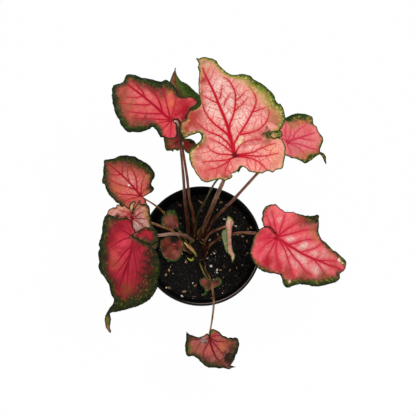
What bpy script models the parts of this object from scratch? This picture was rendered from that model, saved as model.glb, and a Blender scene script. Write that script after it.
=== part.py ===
"""A young caladium with its nursery pot.

Fifteen heart-shaped leaves on their own stalks rise from one tuber, which sits in
potting mix in a round plastic pot. Units are metres, +Z is up, and the origin is the
centre of the pot's flat foot. Leaf and stalk tables are in millimetres.
"""
import math
from collections import namedtuple

import bmesh
import bpy
import numpy as np
from mathutils import Euler, Matrix, Vector

MM = 0.001

# ---- driving dimensions -------------------------------------------------------------
CLEARANCE = 0.3 * MM           # gap between pieces that touch

POT_HEIGHT = 95 * MM
POT_RIM_RADIUS = 54 * MM       # outside of the lip
POT_LIP_WIDTH = 3 * MM         # radial width of the lip
POT_LIP_HEIGHT = 6.5 * MM
POT_WALL = 1.2 * MM
POT_FLOOR = 1.6 * MM
POT_FOOT_RADIUS = 38.5 * MM
POT_CORNER = 1 * MM            # bevel where wall and floor meet
POT_EDGE = 0.5 * MM            # bevel under the lip
POT_SEGMENTS = 64
DRAIN_HOLES = 6
DRAIN_RADIUS = 4 * MM
DRAIN_CIRCLE = 27 * MM

SOIL_TOP = 84 * MM
SOIL_DISH = 1.0 * MM           # how far the middle lies below the edge

TUBER_CENTRE = Vector((-4 * MM, 0, 0))
TUBER_RADIUS = 21 * MM
TUBER_WIDEST = 77 * MM         # height of the widest ring
TUBER_RISE = 9.5 * MM          # from the widest ring to the crown
TUBER_DEPTH = 13 * MM          # from the widest ring to the underside
TUBER_POWER = 2.4              # roundness of the shoulder, 2 is an ellipse
TUBER_SEGMENTS = 32

BLADE_THICKNESS = 0.8 * MM
STEM_STEPS = 11                # tube sections along a stalk
STEM_LEAD = 2 * MM             # straight start and end of a stalk

COLLECTION = "potted_caladium"

# ---- leaves -------------------------------------------------------------------------
# junction: where stalk and blade meet, in mm. heading, pitch, roll: degrees; heading 0
# points along +X, and a positive pitch lowers the tip. fold: degrees that each half
# rises from the midrib. cup, droop and lobe_droop: how far the sides, the tip and the
# rear lobes sink, as a share of the length. outline: (degrees from the tip, mm from the
# junction), from the tip along the left edge to the notch and back on the right.
Leaf = namedtuple("Leaf", "junction heading pitch roll length fold cup droop lobe_droop "
                          "spokes rings colour outline")
# base: (x, y) on the tuber. via: (x, y, z) on the way up. radii: at the foot and top.
Stem = namedtuple("Stem", "base via radii colour")

PINK = (0.80, 0.30, 0.30)
CORAL = (0.70, 0.16, 0.17)
CRIMSON = (0.42, 0.04, 0.06)
DUSKY = (0.24, 0.07, 0.06)
OLIVE = (0.20, 0.24, 0.06)
STALK_BROWN = (0.30, 0.13, 0.09)
STALK_PINK = (0.45, 0.18, 0.14)
STALK_GREEN = (0.25, 0.28, 0.09)

LEAVES = {
    "top_large": Leaf(
        (26, 47.5, 245), 108, 10, -4, 92, 8, 0.26, 0.14, 0.22, 36, 4, PINK,
        [(0, 93), (4, 78), (9, 60), (15, 51), (29, 49), (38, 51), (49, 44), (40, 35),
         (46, 31), (64, 35), (80, 34), (112, 31), (135, 23), (157, 17), (173, 11),
         (-164, 7), (-152, 19), (-134, 31), (-113, 37), (-92, 37), (-83, 28),
         (-74, 36), (-71, 47), (-53, 54), (-35, 63), (-21, 71), (-12, 75), (-6, 89)]),
    "upper_left": Leaf(
        (-23, 81, 222), 148, 16, 6, 64, 10, 0.40, 0.16, 0.25, 28, 4, CORAL,
        [(-6, 69), (2, 61), (11, 53), (25, 44), (42, 37), (52, 24), (57, 14), (76, 13),
         (106, 16), (140, 15), (156, 9), (-172, 3), (-150, 11), (-124, 17), (-119, 24),
         (-104, 25), (-82, 22), (-68, 26), (-49, 39), (-32, 46), (-23, 58), (-16, 65)]),
    "upper_left_rear": Leaf(
        (-16, 75.5, 189), 97, 14, 0, 64, 9, 0.35, 0.16, 0.25, 20, 3, OLIVE,
        [(0, 76), (3, 61), (13, 45), (27, 32), (52, 20), (88, 14), (126, 16), (158, 12),
         (-178, 5), (-160, 14), (-109, 13), (-59, 18), (-40, 30), (-25, 45), (-10, 52)]),
    "upper_right": Leaf(
        (68.5, 65, 216), -16, 22, 8, 52, 10, 0.40, 0.22, 0.25, 24, 4, PINK,
        [(-8, 44), (4, 30), (25, 33), (39, 29), (60, 29), (76, 26), (96, 22), (112, 18),
         (119, 30), (129, 31), (143, 25), (163, 13), (178, 6), (-149, 10), (-104, 11),
         (-60, 11), (-33, 17), (-17, 25)]),
    "under_top": Leaf(
        (28, 57, 190), 84, 20, 0, 40, 10, 0.30, 0.20, 0.25, 16, 3, OLIVE,
        [(0, 40), (15, 30), (40, 20), (80, 14), (125, 14), (158, 10), (180, 4),
         (-158, 10), (-125, 14), (-80, 14), (-40, 20), (-15, 30)]),
    "right": Leaf(
        (63, -2, 160), -26, 20, 0, 72, 9, 0.32, 0.18, 0.25, 30, 4, CORAL,
        [(6, 75), (13, 62), (24, 42), (42, 40), (54, 41), (63, 31), (88, 24), (108, 23),
         (128, 28), (150, 23), (164, 14), (146, 5), (160, 11), (-172, 18), (-136, 24),
         (-100, 29), (-61, 30), (-53, 41), (-33, 46), (-20, 57), (-8, 69)]),
    "left_back": Leaf(
        (-50.5, 33.5, 158), 136, 18, 0, 50, 9, 0.35, 0.16, 0.25, 22, 3, CORAL,
        [(-2, 55), (8, 46), (24, 35), (40, 27), (63, 21), (92, 18), (126, 14), (160, 13),
         (176, 5), (-138, 7), (-108, 11), (-86, 14), (-72, 22), (-47, 30), (-30, 40)]),
    "left_crumpled": Leaf(
        (-57.5, 13.5, 166), -100, 28, 0, 44, 22, 0.20, 0.20, 0.20, 20, 3, PINK,
        [(-2, 46), (17, 39), (38, 34), (60, 26), (94, 17), (129, 18), (156, 16),
         (-174, 8), (-150, 10), (-128, 16), (-92, 21), (-60, 27), (-32, 40)]),
    "left_front": Leaf(
        (-54, -4, 181), -108, 24, 0, 76, 10, 0.36, 0.20, 0.20, 30, 4, CRIMSON,
        [(-1, 97), (0, 82), (3, 73), (15, 63), (27, 55), (45, 43), (62, 30), (84, 20),
         (112, 18), (134, 17), (153, 9), (179, 4), (-154, 11), (-141, 17), (-118, 21),
         (-90, 24), (-61, 30), (-40, 37), (-20, 46), (-7, 57), (-5, 72), (-4, 88)]),
    "front_hanging": Leaf(
        (7.5, -83, 118), -58, 28, 0, 42, 9, 0.36, 0.20, 0.20, 22, 3, CORAL,
        [(0, 43), (13, 35), (40, 30), (52, 24), (60, 13), (95, 9), (130, 8), (150, 5),
         (-176, 4), (-134, 7), (-132, 20), (-110, 22), (-81, 25), (-66, 21), (-40, 27),
         (-14, 34)]),
    "inner_left_back": Leaf(
        (-23, 13.5, 120), 106, 4, 0, 17, 14, 0.30, 0.12, 0.25, 14, 2, OLIVE,
        [(0, 18), (25, 16), (60, 12), (90, 9), (140, 5), (180, 3), (-140, 5), (-90, 5),
         (-44, 7), (-20, 13)]),
    "inner_left_front": Leaf(
        (-22, -4, 104), 150, 14, 0, 20, 11, 0.30, 0.25, 0.25, 14, 2, DUSKY,
        [(-2, 22), (20, 17), (50, 14), (90, 14), (130, 11), (160, 7), (-175, 4),
         (-144, 6), (-105, 7), (-70, 7), (-30, 12)]),
    "unfurling": Leaf(
        (21.5, 11.5, 130), -82, 8, -38, 34, 66, 0.10, 0.10, 0.20, 16, 3, PINK,
        [(0, 35), (14, 27), (32, 18), (70, 11), (115, 10), (152, 11), (180, 4),
         (-152, 11), (-115, 10), (-70, 11), (-32, 18), (-14, 27)]),
    "inner_front": Leaf(
        (8, -33.5, 95), -122, 12, 0, 17, 11, 0.30, 0.20, 0.20, 14, 2, DUSKY,
        [(0, 18), (20, 12), (45, 8), (90, 8), (125, 10), (152, 9), (180, 3), (-140, 4),
         (-100, 6), (-60, 10), (-26, 9)]),
}

STEMS = {
    "top_large": Stem((-2.5, 7.5), [(3, 16, 112), (12, 29, 165), (18, 36, 205),
                                    (22, 41.5, 230)], (2.2, 1.3), STALK_BROWN),
    "upper_left": Stem((-11.5, 13.5), [(-13, 25, 112), (-14, 35, 140), (-14, 48, 172),
                                       (-14, 58, 194), (-16, 67, 208)],
                       (1.9, 1.2), STALK_BROWN),
    "upper_left_rear": Stem((-6, 9.5), [(-7, 24, 116), (-10, 34, 137), (-11.5, 48, 162),
                                        (-13.5, 60, 178)], (1.5, 1.0), STALK_PINK),
    "under_top": Stem((-4, 14), [(-5, 20, 96), (-3, 26, 108), (5, 36, 135),
                                 (12, 45, 158), (21, 51, 177)], (1.0, 0.8), STALK_GREEN),
    "upper_right": Stem((2, 10.5), [(12, 21, 115), (25, 30, 143), (37, 39, 170),
                                    (47, 47, 190), (58, 56, 206)],
                        (1.5, 1.1), STALK_PINK),
    "right": Stem((4, -3.5), [(8, 1, 95), (18, 5, 110), (27, 6, 122), (34, 6, 131),
                              (47, 3, 148)], (1.5, 1.1), STALK_PINK),
    "left_back": Stem((-14.5, 5.5), [(-20, 12, 98), (-28, 20.5, 105), (-35, 27.5, 120),
                                      (-42, 30, 142)], (0.9, 0.7), STALK_BROWN),
    "left_crumpled": Stem((-15.5, -2), [(-19, 5, 104), (-26, 8.5, 128), (-34, 10, 141),
                                        (-42, 11.5, 152)], (1.1, 0.8), STALK_PINK),
    "left_front": Stem((-8.5, 5.5), [(-14, 6.5, 110), (-22, 4, 138), (-29, 1, 155),
                                 (-39, -2, 168)], (1.8, 1.2), STALK_PINK),
    "front_hanging": Stem((2.5, -14), [(4, -23, 97), (8, -32, 108), (10, -42, 117),
                                       (11, -54, 123), (10, -65, 123),
                                       (8.5, -74.5, 118)], (1.0, 0.8), STALK_BROWN),
    "inner_left_back": Stem((-12, 1), [(-15, 6, 98), (-19, 10.5, 109)],
                            (1.0, 0.8), STALK_GREEN),
    "inner_left_front": Stem((-9.5, -6), [(-13, -5, 92), (-18, -4, 98)],
                             (1.0, 0.8), STALK_BROWN),
    "unfurling": Stem((1.5, -1.5), [(3, 3, 98), (7, 7, 108), (12, 10, 118)],
                      (1.2, 0.9), STALK_BROWN),
    "inner_front": Stem((-2.5, -13.5), [(0, -20, 89.5), (4, -28, 91)],
                        (0.9, 0.7), STALK_GREEN),
}

# The youngest leaf is still rolled into a spindle: route of its axis, in mm.
SPINDLE_ROUTE = [(-5.5, -7.5, 94), (-9, -4, 100), (-13, 0, 104), (-15.5, 2.5, 106)]
SPINDLE_RADII = (0.8, 1.9, 1.4, 0.4)
SPINDLE_STEM = Stem((-5, -8.5), [], (1.1, 0.9), OLIVE)

# Short papery sheaths and a sprout between the stalks: foot on the tuber, then route.
SHEATHS = {
    "sheath_rear": ((1.5, 15.0), [(3.5, 18, 91), (6, 22, 97)], (1.5, 0.4)),
    "sheath_left": ((-12.5, 10), [(-14, 12.5, 92), (-14.5, 15.5, 97)], (1.2, 0.3)),
    "sprout_front": ((-9, -12), [(-10, -14, 88), (-11.5, -16.5, 93)], (1.4, 0.4)),
}


# ---- helpers ------------------------------------------------------------------------
def clear_scene():
    """Remove every object of the startup scene."""
    for obj in list(bpy.data.objects):
        bpy.data.objects.remove(obj, do_unlink=True)


def new_collection(name):
    """Return a fresh collection linked to the scene."""
    collection = bpy.data.collections.new(name)
    bpy.context.scene.collection.children.link(collection)
    return collection


def material(name, colour, roughness, metallic=0.0):
    """Principled material with one flat colour (linear RGB)."""
    mat = bpy.data.materials.new(name)
    mat.use_nodes = True
    shader = mat.node_tree.nodes["Principled BSDF"]
    shader.inputs["Base Color"].default_value = (*colour, 1.0)
    shader.inputs["Roughness"].default_value = roughness
    shader.inputs["Metallic"].default_value = metallic
    mat.diffuse_color = (*colour, 1.0)
    return mat


def add_object(name, data, collection, mat=None):
    """Link an object for a mesh or curve and give it its material."""
    obj = bpy.data.objects.new(name, data)
    collection.objects.link(obj)
    if mat is not None:
        data.materials.append(mat)
    return obj


def spline_through(points, samples):
    """Centripetal Catmull-Rom curve through points, read at even steps of its length."""
    pts = np.asarray(points, dtype=float)
    ends = np.vstack([2 * pts[0] - pts[1], pts, 2 * pts[-1] - pts[-2]])
    knots = np.cumsum(np.r_[0, np.sqrt(np.linalg.norm(np.diff(ends, axis=0), axis=1))])
    fine = []
    for i in range(1, len(pts)):
        p0, p1, p2, p3 = ends[i - 1:i + 3]
        t0, t1, t2, t3 = knots[i - 1:i + 3]
        t = np.linspace(t1, t2, 16, endpoint=False)[:, None]
        a1 = (t1 - t) / (t1 - t0) * p0 + (t - t0) / (t1 - t0) * p1
        a2 = (t2 - t) / (t2 - t1) * p1 + (t - t1) / (t2 - t1) * p2
        a3 = (t3 - t) / (t3 - t2) * p2 + (t - t2) / (t3 - t2) * p3
        b1 = (t2 - t) / (t2 - t0) * a1 + (t - t0) / (t2 - t0) * a2
        b2 = (t3 - t) / (t3 - t1) * a2 + (t - t1) / (t3 - t1) * a3
        fine.append((t2 - t) / (t2 - t1) * b1 + (t - t1) / (t2 - t1) * b2)
    fine = np.vstack(fine + [pts[-1:]])
    along = np.cumsum(np.r_[0, np.linalg.norm(np.diff(fine, axis=0), axis=1)])
    wanted = np.linspace(0, along[-1], samples)
    return np.stack([np.interp(wanted, along, axis) for axis in fine.T], axis=1)


def turned(name, profile, segments, collection, mat, centre=(0, 0, 0)):
    """Solid of revolution about +Z from an (r, z) profile, with a Screw modifier."""
    mesh = bpy.data.meshes.new(name)
    verts = [(r, 0.0, z) for r, z in profile]
    mesh.from_pydata(verts, [(i, i + 1) for i in range(len(verts) - 1)], [])
    obj = add_object(name, mesh, collection, mat)
    obj.location = centre
    screw = obj.modifiers.new("turn", "SCREW")
    screw.steps = segments
    screw.render_steps = segments
    screw.use_merge_vertices = True
    screw.merge_threshold = 0.00001
    screw.use_smooth_shade = True
    return obj


def cut(obj, cutter):
    """Subtract cutter from obj and keep the cutter as a wire guide."""
    boolean = obj.modifiers.new("cut_" + cutter.name, "BOOLEAN")
    boolean.operation = "DIFFERENCE"
    boolean.solver = "EXACT"
    boolean.object = cutter
    cutter.hide_render = True
    cutter.display_type = "WIRE"


# ---- pot, soil, tuber ---------------------------------------------------------------
def pot_inner_radius(z):
    """Radius of the tapered inside wall at height z."""
    foot = POT_FOOT_RADIUS - POT_WALL
    top = POT_RIM_RADIUS - POT_LIP_WIDTH
    return foot + (top - foot) * z / POT_HEIGHT


def build_pot(collection, cutters):
    """Tapered pot with a rounded lip and a ring of drain holes in its flat floor."""
    lip_bottom = POT_HEIGHT - POT_LIP_HEIGHT
    lip_round = POT_LIP_WIDTH / 2
    lip_middle = POT_RIM_RADIUS - lip_round
    corner_top = POT_FLOOR + POT_CORNER
    profile = [(0, POT_FLOOR), (pot_inner_radius(POT_FLOOR) - POT_CORNER, POT_FLOOR),
               (pot_inner_radius(corner_top), corner_top)]
    for step in range(7):
        angle = math.pi * (1 - step / 6)
        profile.append((lip_middle + lip_round * math.cos(angle),
                        POT_HEIGHT - lip_round + lip_round * math.sin(angle)))
    profile += [(POT_RIM_RADIUS, lip_bottom + POT_EDGE),
                (POT_RIM_RADIUS - POT_EDGE, lip_bottom),
                (pot_inner_radius(lip_bottom) + POT_WALL, lip_bottom),
                (pot_inner_radius(POT_CORNER) + POT_WALL, POT_CORNER),
                (POT_FOOT_RADIUS - POT_CORNER, 0), (0, 0)]
    pot = turned("nursery_pot", profile, POT_SEGMENTS, collection,
                 material("black_polypropylene", (0.012, 0.012, 0.013), 0.45))

    bm = bmesh.new()
    for k in range(DRAIN_HOLES):
        angle = 2 * math.pi * k / DRAIN_HOLES
        place = Matrix.Translation((DRAIN_CIRCLE * math.cos(angle),
                                    DRAIN_CIRCLE * math.sin(angle), POT_FLOOR / 2))
        bmesh.ops.create_cone(bm, cap_ends=True, segments=16, radius1=DRAIN_RADIUS,
                              radius2=DRAIN_RADIUS, depth=4 * POT_FLOOR, matrix=place)
    mesh = bpy.data.meshes.new("drain_holes")
    bm.to_mesh(mesh)
    bm.free()
    cut(pot, add_object("drain_holes", mesh, cutters))
    return pot


def tuber_height(r, grow=0.0):
    """Height of the tuber's upper surface at distance r from its own axis."""
    share = min(r / (TUBER_RADIUS + grow), 1.0) ** TUBER_POWER
    return TUBER_WIDEST + (TUBER_RISE + grow) * (1 - share) ** (1 / TUBER_POWER)


def tuber_profile(grow=0.0):
    """(r, z) from the crown down the outside to the underside, grown by a margin."""
    radius = TUBER_RADIUS + grow
    profile = []
    for step in range(9):
        angle = 0.5 * math.pi * step / 8
        r = radius * math.sin(angle) ** (2 / TUBER_POWER)
        profile.append((r, tuber_height(r, grow)))
    for step in range(1, 6):
        angle = 0.5 * math.pi * step / 5
        profile.append((radius * math.cos(angle),
                        TUBER_WIDEST - (TUBER_DEPTH + grow) * math.sin(angle)))
    profile[0] = (0.0, profile[0][1])
    profile[-1] = (0.0, profile[-1][1])
    return profile


def build_soil(collection, cutters):
    """Body of potting mix that fills the pot, with an open pocket for the tuber."""
    bottom = POT_FLOOR + CLEARANCE
    corner = bottom + POT_CORNER
    profile = [(0, SOIL_TOP - SOIL_DISH), (0.6 * POT_RIM_RADIUS, SOIL_TOP - 0.6 * SOIL_DISH),
               (pot_inner_radius(SOIL_TOP) - CLEARANCE, SOIL_TOP),
               (pot_inner_radius(corner) - CLEARANCE, corner),
               (pot_inner_radius(bottom) - 2 * CLEARANCE - POT_CORNER, bottom),
               (0, bottom)]
    soil = turned("potting_soil", profile, POT_SEGMENTS, collection,
                  material("moist_potting_mix", (0.02, 0.016, 0.013), 0.95))

    pocket = turned("tuber_pocket", tuber_profile(CLEARANCE), TUBER_SEGMENTS, cutters,
                    None, TUBER_CENTRE)
    cut(soil, pocket)
    return soil


def build_tuber(collection):
    """Flattened round tuber whose crown stands a little above the soil."""
    return turned("tuber", tuber_profile(), TUBER_SEGMENTS, collection,
                  material("brown_tuber_skin", (0.09, 0.06, 0.035), 0.8), TUBER_CENTRE)


# ---- leaves and stalks --------------------------------------------------------------
def outline_points(leaf, samples):
    """Closed blade outline in the leaf's own plane, +X towards the tip, in mm."""
    polar = np.array(leaf.outline + leaf.outline[:1], dtype=float)
    angle = np.radians(polar[:, 0])
    corners = polar[:, 1:] * np.stack([np.cos(angle), np.sin(angle)], axis=1)
    return spline_through(corners, samples + 1)[:-1]


def shape_blade(leaf, flat):
    """Fold, cup and droop flat blade points (x, y) into space."""
    x, y = flat[:, 0], flat[:, 1]
    away = np.sqrt(y * y + 1) - 1
    fold = math.radians(leaf.fold)
    sink = (leaf.cup * y * y + leaf.droop * np.maximum(x, 0) ** 2
            + leaf.lobe_droop * np.maximum(-x, 0) ** 2) / leaf.length
    return np.stack([x, y * math.cos(fold), away * math.sin(fold) - sink], axis=1)


def build_blade(name, leaf, collection):
    """Heart-shaped blade: a fan of rings about the junction, given a thickness."""
    edge = outline_points(leaf, leaf.spokes)
    shares = np.arange(1, leaf.rings + 1) / leaf.rings
    flat = np.vstack([[(0, 0)], (shares[:, None, None] * edge).reshape(-1, 2)])
    verts = shape_blade(leaf, flat) * MM
    n = leaf.spokes
    faces = [(0, 1 + i, 1 + (i + 1) % n) for i in range(n)]
    for ring in range(leaf.rings - 1):
        inner = 1 + ring * n
        outer = inner + n
        faces += [(inner + i, outer + i, outer + (i + 1) % n, inner + (i + 1) % n)
                  for i in range(n)]
    mesh = bpy.data.meshes.new(name)
    mesh.from_pydata(verts.tolist(), [], faces)
    mesh.shade_smooth()
    blade = add_object(name, mesh, collection, material(name + "_leaf", leaf.colour, 0.5))
    blade.location = Vector(leaf.junction) * MM
    blade.rotation_euler = blade_rotation(leaf)
    solidify = blade.modifiers.new("thickness", "SOLIDIFY")
    solidify.thickness = BLADE_THICKNESS
    solidify.offset = 0.0
    return blade


def blade_rotation(leaf):
    """Roll about the midrib, then pitch, then turn to the heading."""
    return Euler([math.radians(v) for v in (leaf.roll, leaf.pitch, leaf.heading)], "XYZ")


def stalk_foot(base):
    """Point just above the tuber at (x, y) in mm, and the tuber's outward normal."""
    spot = Vector((base[0] * MM, base[1] * MM, 0)) - TUBER_CENTRE
    r = spot.length
    slope = (tuber_height(r + 0.1 * MM) - tuber_height(r - 0.1 * MM)) / (0.2 * MM)
    normal = Vector((-slope * spot.x / r, -slope * spot.y / r, 1)).normalized()
    foot = TUBER_CENTRE + Vector((spot.x, spot.y, tuber_height(r)))
    return foot + normal * CLEARANCE, normal


def tube(name, route, radii, steps, bevel_resolution, collection, mat):
    """Round stalk along a route in metres, with its radius running through radii.

    The first and last stretches stay straight, so that each end cap faces its seat.
    """
    points = [route[0], *spline_through(route[1:-1], steps - 2), route[-1]]
    curve = bpy.data.curves.new(name, "CURVE")
    curve.dimensions = "3D"
    curve.bevel_depth = 1.0
    curve.bevel_resolution = bevel_resolution
    curve.use_fill_caps = True
    path = curve.splines.new("POLY")
    path.points.add(len(points) - 1)
    shares = np.linspace(0, len(radii) - 1, len(points))
    for point, place, share in zip(path.points, points, shares):
        point.co = (*place, 1.0)
        point.radius = float(np.interp(share, range(len(radii)), radii)) * MM
    return add_object(name, curve, collection, mat)


def build_stem(name, stem, leaf, collection):
    """Stalk from the tuber to just under the blade at its junction."""
    foot, rise = stalk_foot(stem.base)
    down = -(blade_rotation(leaf).to_matrix() @ Vector((0, 0, 1)))
    top = Vector(leaf.junction) * MM + down * (BLADE_THICKNESS / 2 + CLEARANCE)
    route = [foot, foot + rise * STEM_LEAD]
    route += [Vector(point) * MM for point in stem.via]
    route += [top + down * STEM_LEAD, top]
    return tube(name, route, stem.radii, STEM_STEPS, 1, collection,
                material(name + "_stalk", stem.colour, 0.45))


def build_rolled_leaf(collection):
    """Youngest leaf, still a spindle, on a short stalk of its own."""
    spindle = [Vector(point) * MM for point in SPINDLE_ROUTE]
    tube("blade_curled_young", spindle, SPINDLE_RADII, 8, 2, collection,
         material("curled_young_leaf", (0.55, 0.33, 0.18), 0.5))
    foot, rise = stalk_foot(SPINDLE_STEM.base)
    along = (spindle[1] - spindle[0]).normalized()
    top = spindle[0] - along * CLEARANCE
    tube("stem_curled_young", [foot, foot + rise * 2 * MM, top - along * 2 * MM, top],
         SPINDLE_STEM.radii, 6, 1, collection,
         material("curled_young_stalk", SPINDLE_STEM.colour, 0.5))


def build_sheath(name, base, via, radii, collection):
    """Short pointed sheath that stands on the tuber."""
    foot, rise = stalk_foot(base)
    route = [foot, foot + rise * 2 * MM] + [Vector(point) * MM for point in via]
    return tube(name, route, radii, 6, 1, collection,
                material(name + "_skin", STALK_GREEN, 0.6))


def main():
    clear_scene()
    collection = new_collection(COLLECTION)
    cutters = new_collection("cutters")
    build_pot(collection, cutters)
    build_soil(collection, cutters)
    build_tuber(collection)
    for name, leaf in LEAVES.items():
        build_blade("blade_" + name, leaf, collection)
        build_stem("stem_" + name, STEMS[name], leaf, collection)
    build_rolled_leaf(collection)
    for name, (base, via, radii) in SHEATHS.items():
        build_sheath(name, base, via, radii, collection)


main()
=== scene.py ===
# %% [markdown]
# # A potted caladium
# A caladium is a plant of thin, heart-shaped leaves. Each leaf is one blade on one long
# stalk, and all stalks rise from a tuber in the soil. This lesson dresses the plain solids
# of such a plant: the pot, the soil, the tuber, the stalks and the marked leaves.

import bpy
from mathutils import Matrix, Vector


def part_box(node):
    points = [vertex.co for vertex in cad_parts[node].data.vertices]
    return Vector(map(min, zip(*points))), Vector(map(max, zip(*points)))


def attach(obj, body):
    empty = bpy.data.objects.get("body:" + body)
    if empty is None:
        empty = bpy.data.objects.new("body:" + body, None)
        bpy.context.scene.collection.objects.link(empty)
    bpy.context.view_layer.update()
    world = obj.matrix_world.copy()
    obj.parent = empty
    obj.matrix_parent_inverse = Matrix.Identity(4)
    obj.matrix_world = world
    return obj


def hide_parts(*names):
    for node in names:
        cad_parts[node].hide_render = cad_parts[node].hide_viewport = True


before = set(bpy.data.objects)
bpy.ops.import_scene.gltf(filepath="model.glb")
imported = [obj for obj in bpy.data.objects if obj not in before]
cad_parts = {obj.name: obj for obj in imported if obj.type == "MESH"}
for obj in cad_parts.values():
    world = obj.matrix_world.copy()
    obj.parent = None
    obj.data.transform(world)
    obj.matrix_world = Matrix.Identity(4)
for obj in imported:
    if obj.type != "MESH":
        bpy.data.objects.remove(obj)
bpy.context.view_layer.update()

# %% Tools and units
import math
from collections import namedtuple

import bmesh
import bpy
import numpy as np
from mathutils import Euler, Vector
from mathutils.geometry import delaunay_2d_cdt

MM = 0.001


def linear(code):
    """Linear RGBA of an sRGB hex colour such as 'e98f8c'."""
    srgb = np.array([int(code[i:i + 2], 16) for i in (0, 2, 4)]) / 255
    line = np.where(srgb <= 0.04045, srgb / 12.92, ((srgb + 0.055) / 1.055) ** 2.4)
    return (*line.tolist(), 1.0)


# %% [markdown]
# ## Camera and light
# The plant stands on a pale table and is seen steeply from above, the way one looks down
# into a pot. A plain world light carries most of the light, so colours stay as written,
# and one large soft lamp from the upper right models the leaves.

# %% Camera
VIEW_ELEVATION = 80.0
VIEW_DISTANCE = 0.80
VIEW_TARGET = Vector((0.0060, 0.0342, 0.095))
VIEW_LENS = 75.8


def place_camera():
    """Camera on the -Y side of the target, tilted down by the elevation."""
    data = bpy.data.cameras.new("camera")
    data.lens = VIEW_LENS
    data.sensor_width = 36.0
    camera = bpy.data.objects.new("camera", data)
    bpy.context.scene.collection.objects.link(camera)
    angle = math.radians(VIEW_ELEVATION)
    back = Vector((0, -math.cos(angle), math.sin(angle)))
    camera.location = VIEW_TARGET + back * VIEW_DISTANCE
    camera.rotation_euler = (math.radians(90) - angle, 0, 0)
    bpy.context.scene.camera = camera
    return camera


camera = place_camera()
print("camera at", tuple(round(v, 3) for v in camera.location))


# %% Node helpers
def feed(node, inputs):
    """Set or link a node's inputs, given by name or index."""
    for key, value in inputs.items():
        if isinstance(value, bpy.types.NodeSocket):
            node.id_data.links.new(value, node.inputs[key])
        else:
            node.inputs[key].default_value = value


def add_node(tree, kind, inputs=None, **settings):
    """Add a node, set its properties, and set or link its inputs."""
    node = tree.nodes.new(kind)
    for key, value in settings.items():
        setattr(node, key, value)
    feed(node, inputs or {})
    return node


def work(tree, operation, first, second=0.0, third=0.0):
    """One sum, product or other operation on numbers."""
    return add_node(tree, "ShaderNodeMath", {0: first, 1: second, 2: third},
                    operation=operation).outputs[0]


def work_vector(tree, operation, first, second=(0, 0, 0), output=0):
    """One operation on vectors; output 1 is the number that some of them give."""
    return add_node(tree, "ShaderNodeVectorMath", {0: first, 1: second},
                    operation=operation).outputs[output]


def smooth_step(tree, value, low, high):
    """0 below low, 1 above high, eased between; low may lie above high."""
    return add_node(tree, "ShaderNodeMapRange",
                    {"Value": value, "From Min": low, "From Max": high},
                    interpolation_type="SMOOTHSTEP").outputs[0]


def blend(tree, share, first, second):
    """Colour mix of two sockets or hex codes."""
    first, second = [linear(c) if isinstance(c, str) else c for c in (first, second)]
    return add_node(tree, "ShaderNodeMix", {0: share, 6: first, 7: second},
                    data_type="RGBA").outputs[2]


def ramp(tree, value, stops):
    """Colour that runs through (position, hex code) stops as the value grows."""
    node = add_node(tree, "ShaderNodeValToRGB", {"Fac": value})
    elements = node.color_ramp.elements
    elements[0].position, elements[1].position = stops[0][0], stops[-1][0]
    elements[0].color, elements[1].color = linear(stops[0][1]), linear(stops[-1][1])
    for position, code in stops[1:-1]:
        elements.new(position).color = linear(code)
    return node.outputs[0]


def attribute(tree, name, output="Fac"):
    """Number or vector kept on the points of the mesh."""
    return add_node(tree, "ShaderNodeAttribute", attribute_name=name).outputs[output]


def noise_at(tree, place, scale, detail, roughness=0.5):
    """Noise of the given scale; 1000 gives features near 1 mm."""
    return add_node(tree, "ShaderNodeTexNoise", {"Vector": place, "Scale": scale,
                                                 "Detail": detail,
                                                 "Roughness": roughness}).outputs["Fac"]


def sway_by(tree, value, noise, amount):
    """Value plus noise about 0 of the given amount, from noise about a half."""
    middle = work(tree, "SUBTRACT", noise, 0.5)
    return work(tree, "MULTIPLY_ADD", middle, amount, value)


def new_material(name):
    """Material with one Principled shader, and its tree, shader and object coordinates."""
    mat = bpy.data.materials.new(name)
    mat.use_nodes = True
    tree = mat.node_tree
    place = add_node(tree, "ShaderNodeTexCoord").outputs["Object"]
    return mat, tree, tree.nodes["Principled BSDF"], place


def dress(shader, colour, roughness, specular, height, strength, depth):
    """Colour, gloss and fine relief of a surface; depth in metres."""
    bump = add_node(shader.id_data, "ShaderNodeBump",
                    {"Height": height, "Strength": strength, "Distance": depth})
    feed(shader, {"Base Color": colour, "Roughness": roughness,
                  "Specular IOR Level": specular, "Normal": bump.outputs["Normal"]})


# %% Lamps, world and floor
def add_lamp(name, place, target, size, power):
    """Square area lamp that faces the target."""
    data = bpy.data.lights.new(name, "AREA")
    data.size = size
    data.energy = power
    lamp = bpy.data.objects.new(name, data)
    lamp.location = place
    aim = Vector(target) - Vector(place)
    lamp.rotation_euler = aim.to_track_quat("-Z", "Y").to_euler()
    bpy.context.scene.collection.objects.link(lamp)
    return lamp


def light_world(strength):
    """Even white surroundings."""
    world = bpy.data.worlds.new("studio")
    world.use_nodes = True
    background = world.node_tree.nodes["Background"]
    background.inputs["Color"].default_value = (1, 1, 1, 1)
    background.inputs["Strength"].default_value = strength
    bpy.context.scene.world = world


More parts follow.
